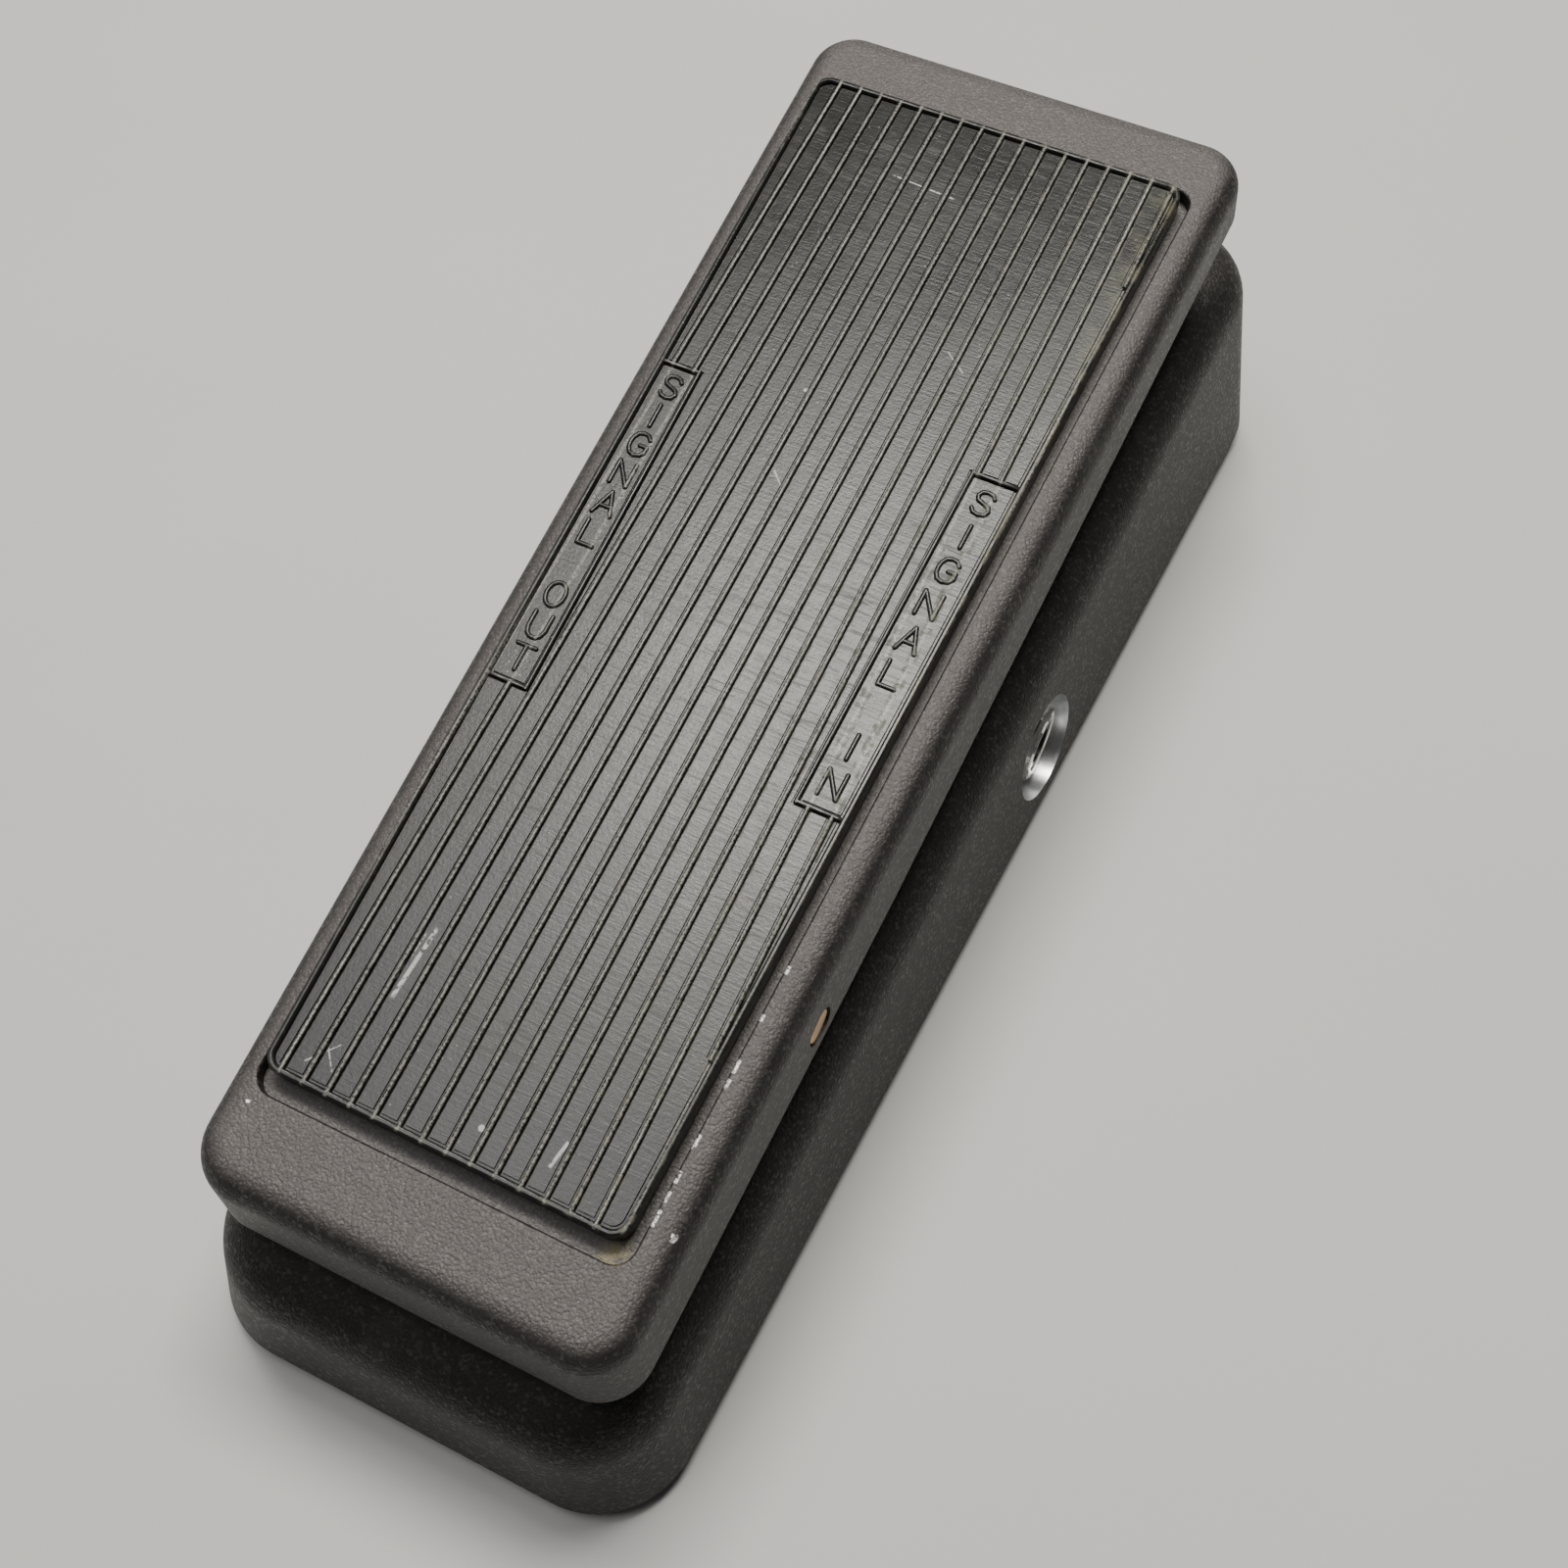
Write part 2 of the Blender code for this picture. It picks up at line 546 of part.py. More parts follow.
# ------------------------------------------------------------------- treadle
treadle_axis = bpy.data.objects.new("treadle_axis", None)
parts.objects.link(treadle_axis)
treadle_axis.location = (0.0, PIVOT_Y * MM, PIVOT_Z * MM)
treadle_axis.rotation_euler = (REST_TILT, 0.0, 0.0)


def tr_half(y):
    f = (y - TR_HEEL) / (TR_TOE - TR_HEEL)
    return TR_HALF_HEEL + (TR_HALF_TOE - TR_HALF_HEEL) * f


def treadle_block(inset, top, bottom):
    corners = {}
    for sy in (False, True):
        for up in (False, True):
            z = top if up else bottom
            lean = TR_DRAFT * (TR_TOP - z) - inset
            heel = TR_DRAFT_HEEL * (TR_TOP - z) - inset
            y = (TR_TOE + lean) if sy else (TR_HEEL - heel)
            x = tr_half(y) + lean
            for sx in (False, True):
                corners[(sx, sy, up)] = (x if sx else -x, y, z)
    return corners


treadle = make("treadle", new_wedge(treadle_block(0.0, TR_TOP, TR_BOTTOM), TR_CORNER, TR_EDGE, 6, 4),
               "casting", treadle_axis)
boolean(treadle, new_wedge(treadle_block(TR_WALL, PLATE_UNDER, TR_BOTTOM - 4.0),
                           TR_CORNER - TR_WALL, 1.5, 5, 2))
# the lower edge rises from the knee to the toe
wedge_cut = [(TR_KNEE, TR_BOTTOM), (TR_TOE + 12.0, TR_BOTTOM + (TR_BOTTOM_TOE - TR_BOTTOM)
                                    * (TR_TOE + 12.0 - TR_KNEE) / (TR_TOE - TR_KNEE)),
             (TR_TOE + 12.0, TR_BOTTOM - 6.0), (TR_KNEE, TR_BOTTOM - 6.0)]
boolean(treadle, new_prism(wedge_cut, 'X', -60.0, 60.0))


def tapered_block(shift, heel, toe, half_heel, half_toe, top, bottom):
    """Corners of a block that widens towards the toe, set off the centre line."""
    corners = {}
    for sy in (False, True):
        y, x = (toe, half_toe) if sy else (heel, half_heel)
        for up in (False, True):
            for sx in (False, True):
                corners[(sx, sy, up)] = (shift + (x if sx else -x), y, top if up else bottom)
    return corners


boolean(treadle, new_wedge(tapered_block(RECESS_SHIFT, RECESS_HEEL, RECESS_TOE, RECESS_HALF_HEEL,
                                         RECESS_HALF_TOE, TR_TOP + 5.0, PLATE_TOP), 3.2, 0.0, 4))
# posts that land on the stops, and the pads that carry the rack bracket
HEEL_POST_Y, TOE_POST_Y = -47.1, 148.9
BRACKET_Y = 99.8
adds = [new_cylinder('Z', 3.0, -4.5, PLATE_UNDER + 1.0, (x, HEEL_POST_Y), 20) for x in (-16.0, 16.0)]
adds += [new_cylinder('Z', 3.0, 0.1, PLATE_UNDER + 1.0, (x, TOE_POST_Y), 20) for x in (-20.0, 20.0)]
boolean(treadle, merge(*adds), 'UNION')
boolean(treadle, merge(new_cylinder('X', PIN_R + 0.2, -45.0, 45.0, (0.0, 0.0), 24),
                       new_cylinder('Z', 1.5, PLATE_UNDER - 3.0, PLATE_UNDER + 2.2,
                                    (-11.0, BRACKET_Y), 12),
                       new_cylinder('Z', 1.5, PLATE_UNDER - 3.0, PLATE_UNDER + 2.2,
                                    (11.0, BRACKET_Y), 12)))

tread_pad = make("tread_pad",
                 new_wedge(tapered_block(PAD_SHIFT, PAD_HEEL, PAD_TOE, PAD_HALF_HEEL, PAD_HALF_TOE,
                                         PAD_TOP, PAD_BOTTOM), 3.0, 0.6, 4, 1),
                 "rubber", treadle_axis)

pivot_pin = make("pivot_pin", new_cylinder('X', PIN_R, -PIN_END, PIN_END, (0.0, 0.0), 24),
                 "brass", treadle_axis)

# bracket with two cheeks that hold the rack pin
PIN_V = RACK_ARM * math.cos(REST_TILT) + (RACK_PIN_Z - PIVOT_Z) * math.sin(REST_TILT)
PIN_W = -RACK_ARM * math.sin(REST_TILT) + (RACK_PIN_Z - PIVOT_Z) * math.cos(REST_TILT)
rack_bracket = make("rack_bracket",
                    new_box(-15.0, 15.0, PIN_V - 5.5, PIN_V + 5.5, PLATE_UNDER - 1.5, PLATE_UNDER - 0.3),
                    "plate", treadle_axis)
boolean(rack_bracket, merge(new_box(-5.4, -3.9, PIN_V - 4.0, PIN_V + 4.0, PIN_W - 3.0, PLATE_UNDER - 1.0),
                            new_box(3.9, 5.4, PIN_V - 4.0, PIN_V + 4.0, PIN_W - 3.0, PLATE_UNDER - 1.0)),
        'UNION')
boolean(rack_bracket, merge(new_cylinder('X', 1.8, -8.0, 8.0, (PIN_V, PIN_W), 16),
                            new_cylinder('Z', 1.6, PLATE_UNDER - 3.3, PLATE_UNDER + 1.7, (-11.0, BRACKET_Y), 12),
                            new_cylinder('Z', 1.6, PLATE_UNDER - 3.3, PLATE_UNDER + 1.7, (11.0, BRACKET_Y), 12)))
for x, side in ((-11.0, "left"), (11.0, "right")):
    screw = make("rack_bracket_screw_" + side,
                 new_cylinder('Z', 1.15, PLATE_UNDER - 2.7, PLATE_UNDER + 1.8, (x, BRACKET_Y), 12),
                 "steel", treadle_axis)
    boolean(screw, new_cylinder('Z', 2.5, PLATE_UNDER - 3.3, PLATE_UNDER - 1.9, (x, BRACKET_Y), 16), 'UNION')

# pin with a head on one side and a clip in a groove on the other
rack_pin = make("rack_pin", new_cylinder('X', 1.5, -8.0, 6.4, (PIN_V, PIN_W), 18),
                "steel", treadle_axis)
boolean(rack_pin, new_cylinder('X', 2.6, 5.7, 6.9, (PIN_V, PIN_W), 18), 'UNION')
make("rack_pin_clip", new_ring('X', 3.0, 1.8, -6.5, -5.7, (PIN_V, PIN_W), 18), "steel", treadle_axis)

# ---------------------------------------------------------------- gear rack
TOOTH = math.pi * MODULE
TAN = math.tan(math.radians(20.0))
BACKLASH = 0.16
rack_axis = bpy.data.objects.new("rack_axis", None)
parts.objects.link(rack_axis)
rack_axis.location = (0.0, RACK_Y * MM, PINION_Z * MM)

RACK_LOW = 15.4 - PINION_Z
BACK_Y = 40.6 - RACK_Y
LINE_Y = PITCH_LINE_Y - RACK_Y
HEAD_Z = RACK_PIN_Z - PINION_Z
profile = [(BACK_Y, RACK_LOW)]
# teeth climb from the low end; a space is centred on z = 0
half_pitch = TOOTH / 4.0 - BACKLASH / 2.0
for n in range(-4, 6):
    centre = (n + 0.5) * TOOTH
    root = half_pitch + DEDENDUM * TAN
    tip = half_pitch - ADDENDUM * TAN
    profile += [(LINE_Y - DEDENDUM, centre - root), (LINE_Y + ADDENDUM, centre - tip),
                (LINE_Y + ADDENDUM, centre + tip), (LINE_Y - DEDENDUM, centre + root)]
profile.insert(1, (LINE_Y - DEDENDUM, RACK_LOW))
profile += [(LINE_Y - DEDENDUM, 16.0), (LINE_Y, 17.5), (LINE_Y, HEAD_Z - 4.0),
            (4.4, HEAD_Z - 2.6), (4.4, HEAD_Z + 3.0), (-4.4, HEAD_Z + 3.0),
            (-4.4, HEAD_Z - 2.6), (BACK_Y, HEAD_Z - 4.0)]
gear_rack = make("gear_rack", new_prism(profile, 'X', -3.0, 3.0), "nylon", rack_axis)
slot = []
for cx, a0 in ((1.5, -math.pi / 2.0), (-1.5, math.pi / 2.0)):
    for i in range(9):
        t = a0 + math.pi * i / 8.0
        slot.append((cx + 1.85 * math.cos(t), HEAD_Z + 1.85 * math.sin(t)))
boolean(gear_rack, new_prism(slot, 'X', -6.0, 6.0))

# ------------------------------------------------------- pinion on its shaft
pot_axis = bpy.data.objects.new("pot_axis", None)
parts.objects.link(pot_axis)
pot_axis.location = (0.0, PINION_Y * MM, PINION_Z * MM)
base_r = PITCH_R * math.cos(math.radians(20.0))
root_r, tip_r = PITCH_R - DEDENDUM, PITCH_R + ADDENDUM
inv_pitch = math.tan(math.radians(20.0)) - math.radians(20.0)
half_angle = (math.pi / 2.0 - BACKLASH / MODULE) / TEETH


def flank(r):
    """Half angle of a tooth at radius r."""
    if r <= base_r:
        return half_angle + inv_pitch
    a = math.acos(base_r / r)
    return half_angle + inv_pitch - (math.tan(a) - a)


gear = []
for n in range(TEETH):
    mid = math.pi + 2.0 * math.pi * n / TEETH
    for r in (root_r, base_r, PITCH_R, tip_r):
        t = mid - flank(r)
        gear.append((r * math.cos(t), r * math.sin(t)))
    for r in (tip_r, PITCH_R, base_r, root_r):
        t = mid + flank(r)
        gear.append((r * math.cos(t), r * math.sin(t)))
pinion_gear = make("pinion_gear", new_prism(gear, 'X', -3.4, 3.6), "nylon", pot_axis)
boolean(pinion_gear, new_cylinder('X', 4.4, -5.2, -3.0, (0.0, 0.0), 24), 'UNION')
boolean(pinion_gear, new_cylinder('X', 3.3, -9.0, 9.0, (0.0, 0.0), 24))
make("pot_shaft", new_cylinder('X', 3.0, -14.0, 4.6, (0.0, 0.0), 24), "plate", pot_axis)
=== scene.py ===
import json
import math

import bmesh
import bpy
from mathutils import Matrix, Vector


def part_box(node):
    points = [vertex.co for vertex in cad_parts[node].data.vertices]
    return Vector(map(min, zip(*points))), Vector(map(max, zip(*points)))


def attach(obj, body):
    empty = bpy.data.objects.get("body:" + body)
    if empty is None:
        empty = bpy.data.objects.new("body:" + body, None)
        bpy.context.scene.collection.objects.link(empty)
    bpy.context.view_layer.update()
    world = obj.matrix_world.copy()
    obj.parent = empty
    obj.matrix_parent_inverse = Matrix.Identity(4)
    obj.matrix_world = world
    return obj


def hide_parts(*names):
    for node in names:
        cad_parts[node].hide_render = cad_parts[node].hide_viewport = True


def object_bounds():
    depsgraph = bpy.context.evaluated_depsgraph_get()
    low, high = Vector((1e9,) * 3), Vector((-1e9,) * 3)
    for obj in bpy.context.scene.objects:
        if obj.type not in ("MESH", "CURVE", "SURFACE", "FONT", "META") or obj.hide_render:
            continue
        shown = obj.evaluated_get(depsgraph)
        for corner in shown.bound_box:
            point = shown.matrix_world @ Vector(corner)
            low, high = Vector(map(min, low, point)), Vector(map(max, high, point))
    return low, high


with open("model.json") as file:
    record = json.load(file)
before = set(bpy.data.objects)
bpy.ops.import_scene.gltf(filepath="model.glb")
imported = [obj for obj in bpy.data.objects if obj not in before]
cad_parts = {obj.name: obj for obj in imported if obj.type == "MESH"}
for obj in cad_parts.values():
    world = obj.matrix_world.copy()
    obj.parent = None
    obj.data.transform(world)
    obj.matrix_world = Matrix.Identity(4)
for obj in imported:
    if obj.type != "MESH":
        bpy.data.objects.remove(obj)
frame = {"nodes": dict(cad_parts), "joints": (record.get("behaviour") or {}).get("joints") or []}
cad_lo, cad_hi = [Vector(v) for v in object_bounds()]
NODES = frame["nodes"]
MM = 0.001

# ------------------------------------------------------------- driving sizes
HINGE = [j for j in frame["joints"] if j["name"] == "treadle_rock"][0]
SPIN = [j for j in frame["joints"] if j["name"] == "pinion_spin"][0]
PIVOT_Y, PIVOT_Z = HINGE["pos_m"][1] / MM, HINGE["pos_m"][2] / MM
TILT = math.radians(6.0)
BASE_LENGTH = (cad_hi.y - cad_lo.y) / MM
BASE_HALF_HEEL, BASE_HALF_TOE = 40.5, 51.6
BASE_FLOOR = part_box("base_housing")[0].z / MM
BASE_TOP_HEEL, BASE_TOP_TOE = 27.0, 46.6
BASE_DRAFT, BASE_DRAFT_HEEL, BASE_DRAFT_TOE = 0.175, 0.18, 0.06
BASE_CORNER, BASE_SHOULDER, BASE_WALL = 15.0, 8.0, 3.0
SLOPE = (BASE_TOP_TOE - BASE_TOP_HEEL) / BASE_LENGTH
TR_HEEL, TR_TOE = -57.9, 167.6
TR_TOP, TR_BOTTOM, TR_BOTTOM_TOE, TR_KNEE = 11.9, -4.9, 1.5, 24.0
TR_HALF_HEEL, TR_HALF_TOE = 34.2, 40.0
TR_DRAFT, TR_DRAFT_HEEL = 0.06, 0.15
TR_CORNER, TR_EDGE, TR_WALL = 8.0, 4.5, 2.8
PLATE_TOP, PLATE_UNDER = 9.4, 6.4
PIN_R, PIN_END = 3.0, 36.2
PAD_HEEL, PAD_TOE = -40.7, 154.0
PAD_HALF_HEEL, PAD_HALF_TOE = 28.8, 34.0
PAD_SHIFT = -1.5
RECESS_HEEL, RECESS_TOE = -43.7, 154.4
RECESS_HALF_HEEL, RECESS_HALF_TOE = 29.7, 35.0
RECESS_SHIFT = -0.8
PAD_TOP, PAD_BOTTOM, PAD_FLOOR = 13.35, 9.7, 12.85
JACK_Y, JACK_Z = 19.9, 15.7
SPOTFACE_R, SPOTFACE_X, PANEL_X = 10.0, 41.6, 36.5
BOSSES = [(-28.0, -107.0), (28.0, -107.0), (-33.0, 104.0), (33.0, 104.0)]
HEEL_STOPS = [(-16.0, -102.0), (16.0, -102.0)]
TOE_STOPS = [(-20.0, 93.0), (20.0, 93.0)]
EARS = [(-17.0, 34.7), (-17.0, 66.0)]
CORNERS = ["heel_left", "heel_right", "toe_left", "toe_right"]

TREADLE = Matrix.Translation(Vector((0.0, PIVOT_Y, PIVOT_Z)) * MM) @ Matrix.Rotation(TILT, 4, 'X')
RIB_PITCH, RIB_OFFSET = 3.86, -0.3


# ---------------------------------------------------------------- mesh makers
def new_wedge(corners, vertical=0.0, top=0.0, v_seg=14, t_seg=8, bottom=0.0):
    bm = bmesh.new()
    bmesh.ops.create_cube(bm, size=1.0)
    for v in bm.verts:
        v.co = Vector(corners[(v.co.x > 0, v.co.y > 0, v.co.z > 0)]) * MM
    bm.normal_update()
    if vertical:
        upright = [e for e in bm.edges
                   if abs((e.verts[0].co - e.verts[1].co).normalized().z) > 0.7]
        bmesh.ops.bevel(bm, geom=upright, offset=vertical * MM, segments=v_seg,
                        profile=0.5, affect='EDGES')
    for size, sign in ((top, 1.0), (bottom, -1.0)):
        if size:
            bm.normal_update()
            cap = max(bm.faces, key=lambda f: (round(f.normal.z * sign, 3), f.calc_area()))
            bmesh.ops.bevel(bm, geom=list(cap.edges), offset=size * MM, segments=t_seg,
                            profile=0.5, affect='EDGES')
    return bm


def new_box(x0, x1, y0, y1, z0, z1, bevel=0.0, segments=2):
    bm = bmesh.new()
    bmesh.ops.create_cube(bm, size=1.0)
    for v in bm.verts:
        v.co = Vector((x0 if v.co.x < 0 else x1, y0 if v.co.y < 0 else y1,
                       z0 if v.co.z < 0 else z1)) * MM
    if bevel:
        bmesh.ops.bevel(bm, geom=bm.edges[:], offset=bevel * MM, segments=segments,
                        profile=0.5, affect='EDGES')
    return bm


def turned(axis, profile, centre, segments=64, turn=0.0, radius_fn=None):
    """A closed ring swept from a profile of (radius, height) points around an axis."""
    bm = bmesh.new()
    loops = []
    for i in range(segments):
        t = 2.0 * math.pi * i / segments
        c, s = math.cos(t + turn), math.sin(t + turn)
        ring = []
        for k, (r, a) in enumerate(profile):
            if radius_fn:
                r, a = radius_fn(k, t, r, a)
            if axis == 'X':
                p = (a, centre[0] + r * c, centre[1] + r * s)
            elif axis == 'Y':
                p = (centre[0] + r * s, a, centre[1] + r * c)
            else:
                p = (centre[0] + r * c, centre[1] + r * s, a)
            ring.append(bm.verts.new(Vector(p) * MM))
        loops.append(ring)
    n = len(profile)
    for i in range(segments):
        a, b = loops[i], loops[(i + 1) % segments]
        for k in range(n):
            bm.faces.new((a[k], b[k], b[(k + 1) % n], a[(k + 1) % n]))
    return bm


def new_rod(axis, radius, a0, a1, centre, segments=64, chamfer=0.0, radius2=None):
    """A solid round bar with chamfered ends; its axis line is welded away."""
    r2 = radius2 or radius
    prof = [(0.0, a0)]
    if chamfer:
        prof += [(radius - chamfer, a0), (radius, a0 + chamfer), (r2, a1 - chamfer), (r2 - chamfer, a1)]
    else:
        prof += [(radius, a0), (r2, a1)]
    prof.append((0.0, a1))
    bm = bmesh.new()
    rings = []
    for r, a in prof:
        if r == 0.0:
            p = {'X': (a, centre[0], centre[1]), 'Y': (centre[0], a, centre[1]),
                 'Z': (centre[0], centre[1], a)}[axis]
            rings.append([bm.verts.new(Vector(p) * MM)])
            continue
        ring = []
        for i in range(segments):
            t = 2.0 * math.pi * i / segments
            c, s = r * math.cos(t), r * math.sin(t)
            p = {'X': (a, centre[0] + c, centre[1] + s), 'Y': (centre[0] + s, a, centre[1] + c),
                 'Z': (centre[0] + c, centre[1] + s, a)}[axis]
            ring.append(bm.verts.new(Vector(p) * MM))
        rings.append(ring)
    for lo, hi in zip(rings, rings[1:]):
        for i in range(segments):
            j = (i + 1) % segments
            if len(lo) == 1:
                bm.faces.new((lo[0], hi[j], hi[i]))
            elif len(hi) == 1:
                bm.faces.new((lo[i], lo[j], hi[0]))
            else:
                bm.faces.new((lo[i], lo[j], hi[j], hi[i]))
    return bm


def new_prism(points, axis, a0, a1):
    bm = bmesh.new()

    def place(p, a):
        if axis == 'X':
            return Vector((a, p[0], p[1])) * MM
        if axis == 'Y':
            return Vector((p[0], a, p[1])) * MM
        return Vector((p[0], p[1], a)) * MM
    low = [bm.verts.new(place(p, a0)) for p in points]
    face = bm.faces.new(low)
    ext = bmesh.ops.extrude_face_region(bm, geom=[face])
    shift = place((0.0, 0.0), a1 - a0)
    for g in ext['geom']:
        if isinstance(g, bmesh.types.BMVert):
            g.co += shift
    return bm


def rounded(corners, radius, n=12):
    """The outline of a four-cornered shape with arcs at its corners."""
    pts = []
    for i in range(4):
        p = Vector(corners[i])
        a = (Vector(corners[i - 1]) - p).normalized()
        b = (Vector(corners[(i + 1) % 4]) - p).normalized()
        half = a.angle(b) / 2.0
        centre = p + (a + b).normalized() * (radius / math.sin(half))
        va = p + a * (radius / math.tan(half)) - centre
        vb = p + b * (radius / math.tan(half)) - centre
        t0, t1 = math.atan2(va.y, va.x), math.atan2(vb.y, vb.x)
        d = (t1 - t0 + math.pi) % (2.0 * math.pi) - math.pi
        for k in range(n + 1):
            t = t0 + d * k / n
            pts.append((centre.x + radius * math.cos(t), centre.y + radius * math.sin(t)))
    return pts


def loft(levels, n=12):
    """A closed solid through rounded outlines given as (corners, radius, height)."""
    bm = bmesh.new()
    rings = [[bm.verts.new(Vector((x, y, z)) * MM) for x, y in rounded(c, r, n)]
             for c, r, z in levels]
    for lo, hi in zip(rings, rings[1:]):
        for i in range(len(lo)):
            j = (i + 1) % len(lo)
            bm.faces.new((lo[i], lo[j], hi[j], hi[i]))
    bm.faces.new(rings[0][::-1])
    bm.faces.new(rings[-1])
    return bm


def merge(*meshes):
    out = bmesh.new()
    for bm in meshes:
        data = bpy.data.meshes.new("tmp")
        bm.to_mesh(data)
        bm.free()
        out.from_mesh(data)
        bpy.data.meshes.remove(data)
    return out


def to_object(name, bm):
    bmesh.ops.recalc_face_normals(bm, faces=bm.faces)
    mesh = bpy.data.meshes.new(name)
    bm.to_mesh(mesh)
    bm.free()
    obj = bpy.data.objects.new(name, mesh)
    bpy.context.scene.collection.objects.link(obj)
    return obj


def carve(obj, steps):
    """Apply a list of (operation, bmesh) Booleans and leave a plain mesh."""
    tools = []
    for op, bm in steps:
        tool = to_object(obj.name + "_tool", bm)
        tools.append(tool)
        mod = obj.modifiers.new("b", 'BOOLEAN')
        mod.operation, mod.solver, mod.object = op, 'EXACT', tool
    bpy.context.view_layer.update()
    mesh = bpy.data.meshes.new_from_object(
        obj.evaluated_get(bpy.context.evaluated_depsgraph_get()))
    obj.modifiers.clear()
    old = obj.data
    obj.data = mesh
    bpy.data.meshes.remove(old)
    for tool in tools:
        data = tool.data
        bpy.data.objects.remove(tool)
        bpy.data.meshes.remove(data)
    return obj


def finish_mesh(obj, angle=34.0, weighted=True, matrix=None):
    mesh = obj.data
    if matrix is not None:
        mesh.transform(matrix)
    bm = bmesh.new()
    bm.from_mesh(mesh)
    bmesh.ops.remove_doubles(bm, verts=bm.verts, dist=2e-6)
    bmesh.ops.dissolve_degenerate(bm, edges=bm.edges, dist=1e-6)
    bm.to_mesh(mesh)
    bm.free()
    mesh.shade_smooth()
    mesh.set_sharp_from_angle(angle=math.radians(angle))
    if weighted:
        mod = obj.modifiers.new("wn", 'WEIGHTED_NORMAL')
        mod.keep_sharp = True
        mod.weight = 100
        bpy.context.view_layer.update()
        new = bpy.data.meshes.new_from_object(
            obj.evaluated_get(bpy.context.evaluated_depsgraph_get()))
        obj.modifiers.clear()
        obj.data = new
        bpy.data.meshes.remove(mesh)
    return obj


# ------------------------------------------------------------------ materials
class Look:
    """A small wrapper that keeps node set-ups short."""

    def __init__(self, name, metallic=0.0, specular=0.5, ior=1.5):
        self.mat = bpy.data.materials.new(name)
        self.mat.use_nodes = True
        self.tree = self.mat.node_tree
        self.bsdf = self.tree.nodes["Principled BSDF"]
        self.bsdf.inputs["Metallic"].default_value = metallic
        self.bsdf.inputs["Specular IOR Level"].default_value = specular
        self.bsdf.inputs["IOR"].default_value = ior
        self.coord = self.tree.nodes.new("ShaderNodeTexCoord").outputs["Object"]

    def node(self, kind, **inputs):
        n = self.tree.nodes.new(kind)
        for key, val in inputs.items():
            n.inputs[key.replace("_", " ")].default_value = val
        return n

    def link(self, a, b):
        self.tree.links.new(a, b)

    def math(self, op, a, b=None, c=None, clamp=False):
        n = self.tree.nodes.new("ShaderNodeMath")
        n.operation, n.use_clamp = op, clamp
        for i, v in enumerate((a, b, c)):
            if v is None:
                continue
            if isinstance(v, (int, float)):
                n.inputs[i].default_value = v
            else:
                self.link(v, n.inputs[i])
        return n.outputs[0]

    def mapping(self, scale=(1, 1, 1), rotation=(0, 0, 0), location=(0, 0, 0), vector=None):
        n = self.tree.nodes.new("ShaderNodeMapping")
        n.inputs["Scale"].default_value = scale
        n.inputs["Rotation"].default_value = rotation
        n.inputs["Location"].default_value = location
        self.link(vector or self.coord, n.inputs["Vector"])
        return n.outputs[0]

    def noise(self, scale, detail=3.0, rough=0.55, vector=None, distortion=0.0):
        n = self.node("ShaderNodeTexNoise", Scale=scale, Detail=detail, Roughness=rough,
                      Distortion=distortion)
        self.link(vector or self.coord, n.inputs["Vector"])
        return n.outputs["Fac"]

    def voronoi(self, scale, feature='F1', out="Distance", vector=None, randomness=1.0):
        n = self.node("ShaderNodeTexVoronoi", Scale=scale, Randomness=randomness)
        n.feature = feature
        self.link(vector or self.coord, n.inputs["Vector"])
        return n.outputs[out]

    def step(self, value, lo, hi):
        """Smoothly 0 below lo and 1 above hi (or the other way round)."""
        n = self.tree.nodes.new("ShaderNodeMapRange")
        n.interpolation_type = 'SMOOTHSTEP'
        n.inputs["From Min"].default_value = min(lo, hi)
        n.inputs["From Max"].default_value = max(lo, hi)
        n.inputs["To Min"].default_value = 0.0 if hi > lo else 1.0
        n.inputs["To Max"].default_value = 1.0 if hi > lo else 0.0
        self.link(value, n.inputs["Value"])
        return n.outputs["Result"]

    def span(self, value, lo, hi, a=0.0, b=1.0):
        n = self.tree.nodes.new("ShaderNodeMapRange")
        n.inputs["From Min"].default_value = a
        n.inputs["From Max"].default_value = b
        n.inputs["To Min"].default_value = lo
        n.inputs["To Max"].default_value = hi
        self.link(value, n.inputs["Value"])
        return n.outputs["Result"]

    def mix(self, fac, a, b):
        n = self.tree.nodes.new("ShaderNodeMix")
        n.data_type = 'RGBA'
        for sock, v in ((n.inputs[0], fac), (n.inputs[6], a), (n.inputs[7], b)):
            if isinstance(v, tuple):
                sock.default_value = (*v, 1.0)
            elif isinstance(v, (int, float)):
                sock.default_value = v
            else:
                self.link(v, sock)
        return n.outputs[2]

    def bump(self, height, distance, strength=1.0, under=None):
        n = self.node("ShaderNodeBump", Strength=strength, Distance=distance)
        self.link(height, n.inputs["Height"])
        if under is not None:
            self.link(under, n.inputs["Normal"])
        return n.outputs["Normal"]

    def axis(self, index):
        n = self.tree.nodes.new("ShaderNodeSeparateXYZ")
        self.link(self.coord, n.inputs[0])
        return n.outputs[index]

    def done(self, color=None, roughness=None, normal=None, metallic=None):
        for val, key in ((color, "Base Color"), (roughness, "Roughness"), (normal, "Normal"),
                         (metallic, "Metallic")):
            if val is None:
                continue
            if isinstance(val, tuple):
                self.bsdf.inputs[key].default_value = (*val, 1.0)
            elif isinstance(val, (int, float)):
                self.bsdf.inputs[key].default_value = val
            else:
                self.link(val, self.bsdf.inputs[key])
        return self.mat

    def near(self, point, radius, soft=0.5):
        """1 inside a ball round a point in metres, 0 outside."""
        n = self.tree.nodes.new("ShaderNodeVectorMath")
        n.operation = 'DISTANCE'
        n.inputs[1].default_value = point
        self.link(self.coord, n.inputs[0])
        return self.step(n.outputs["Value"], radius, radius * soft)

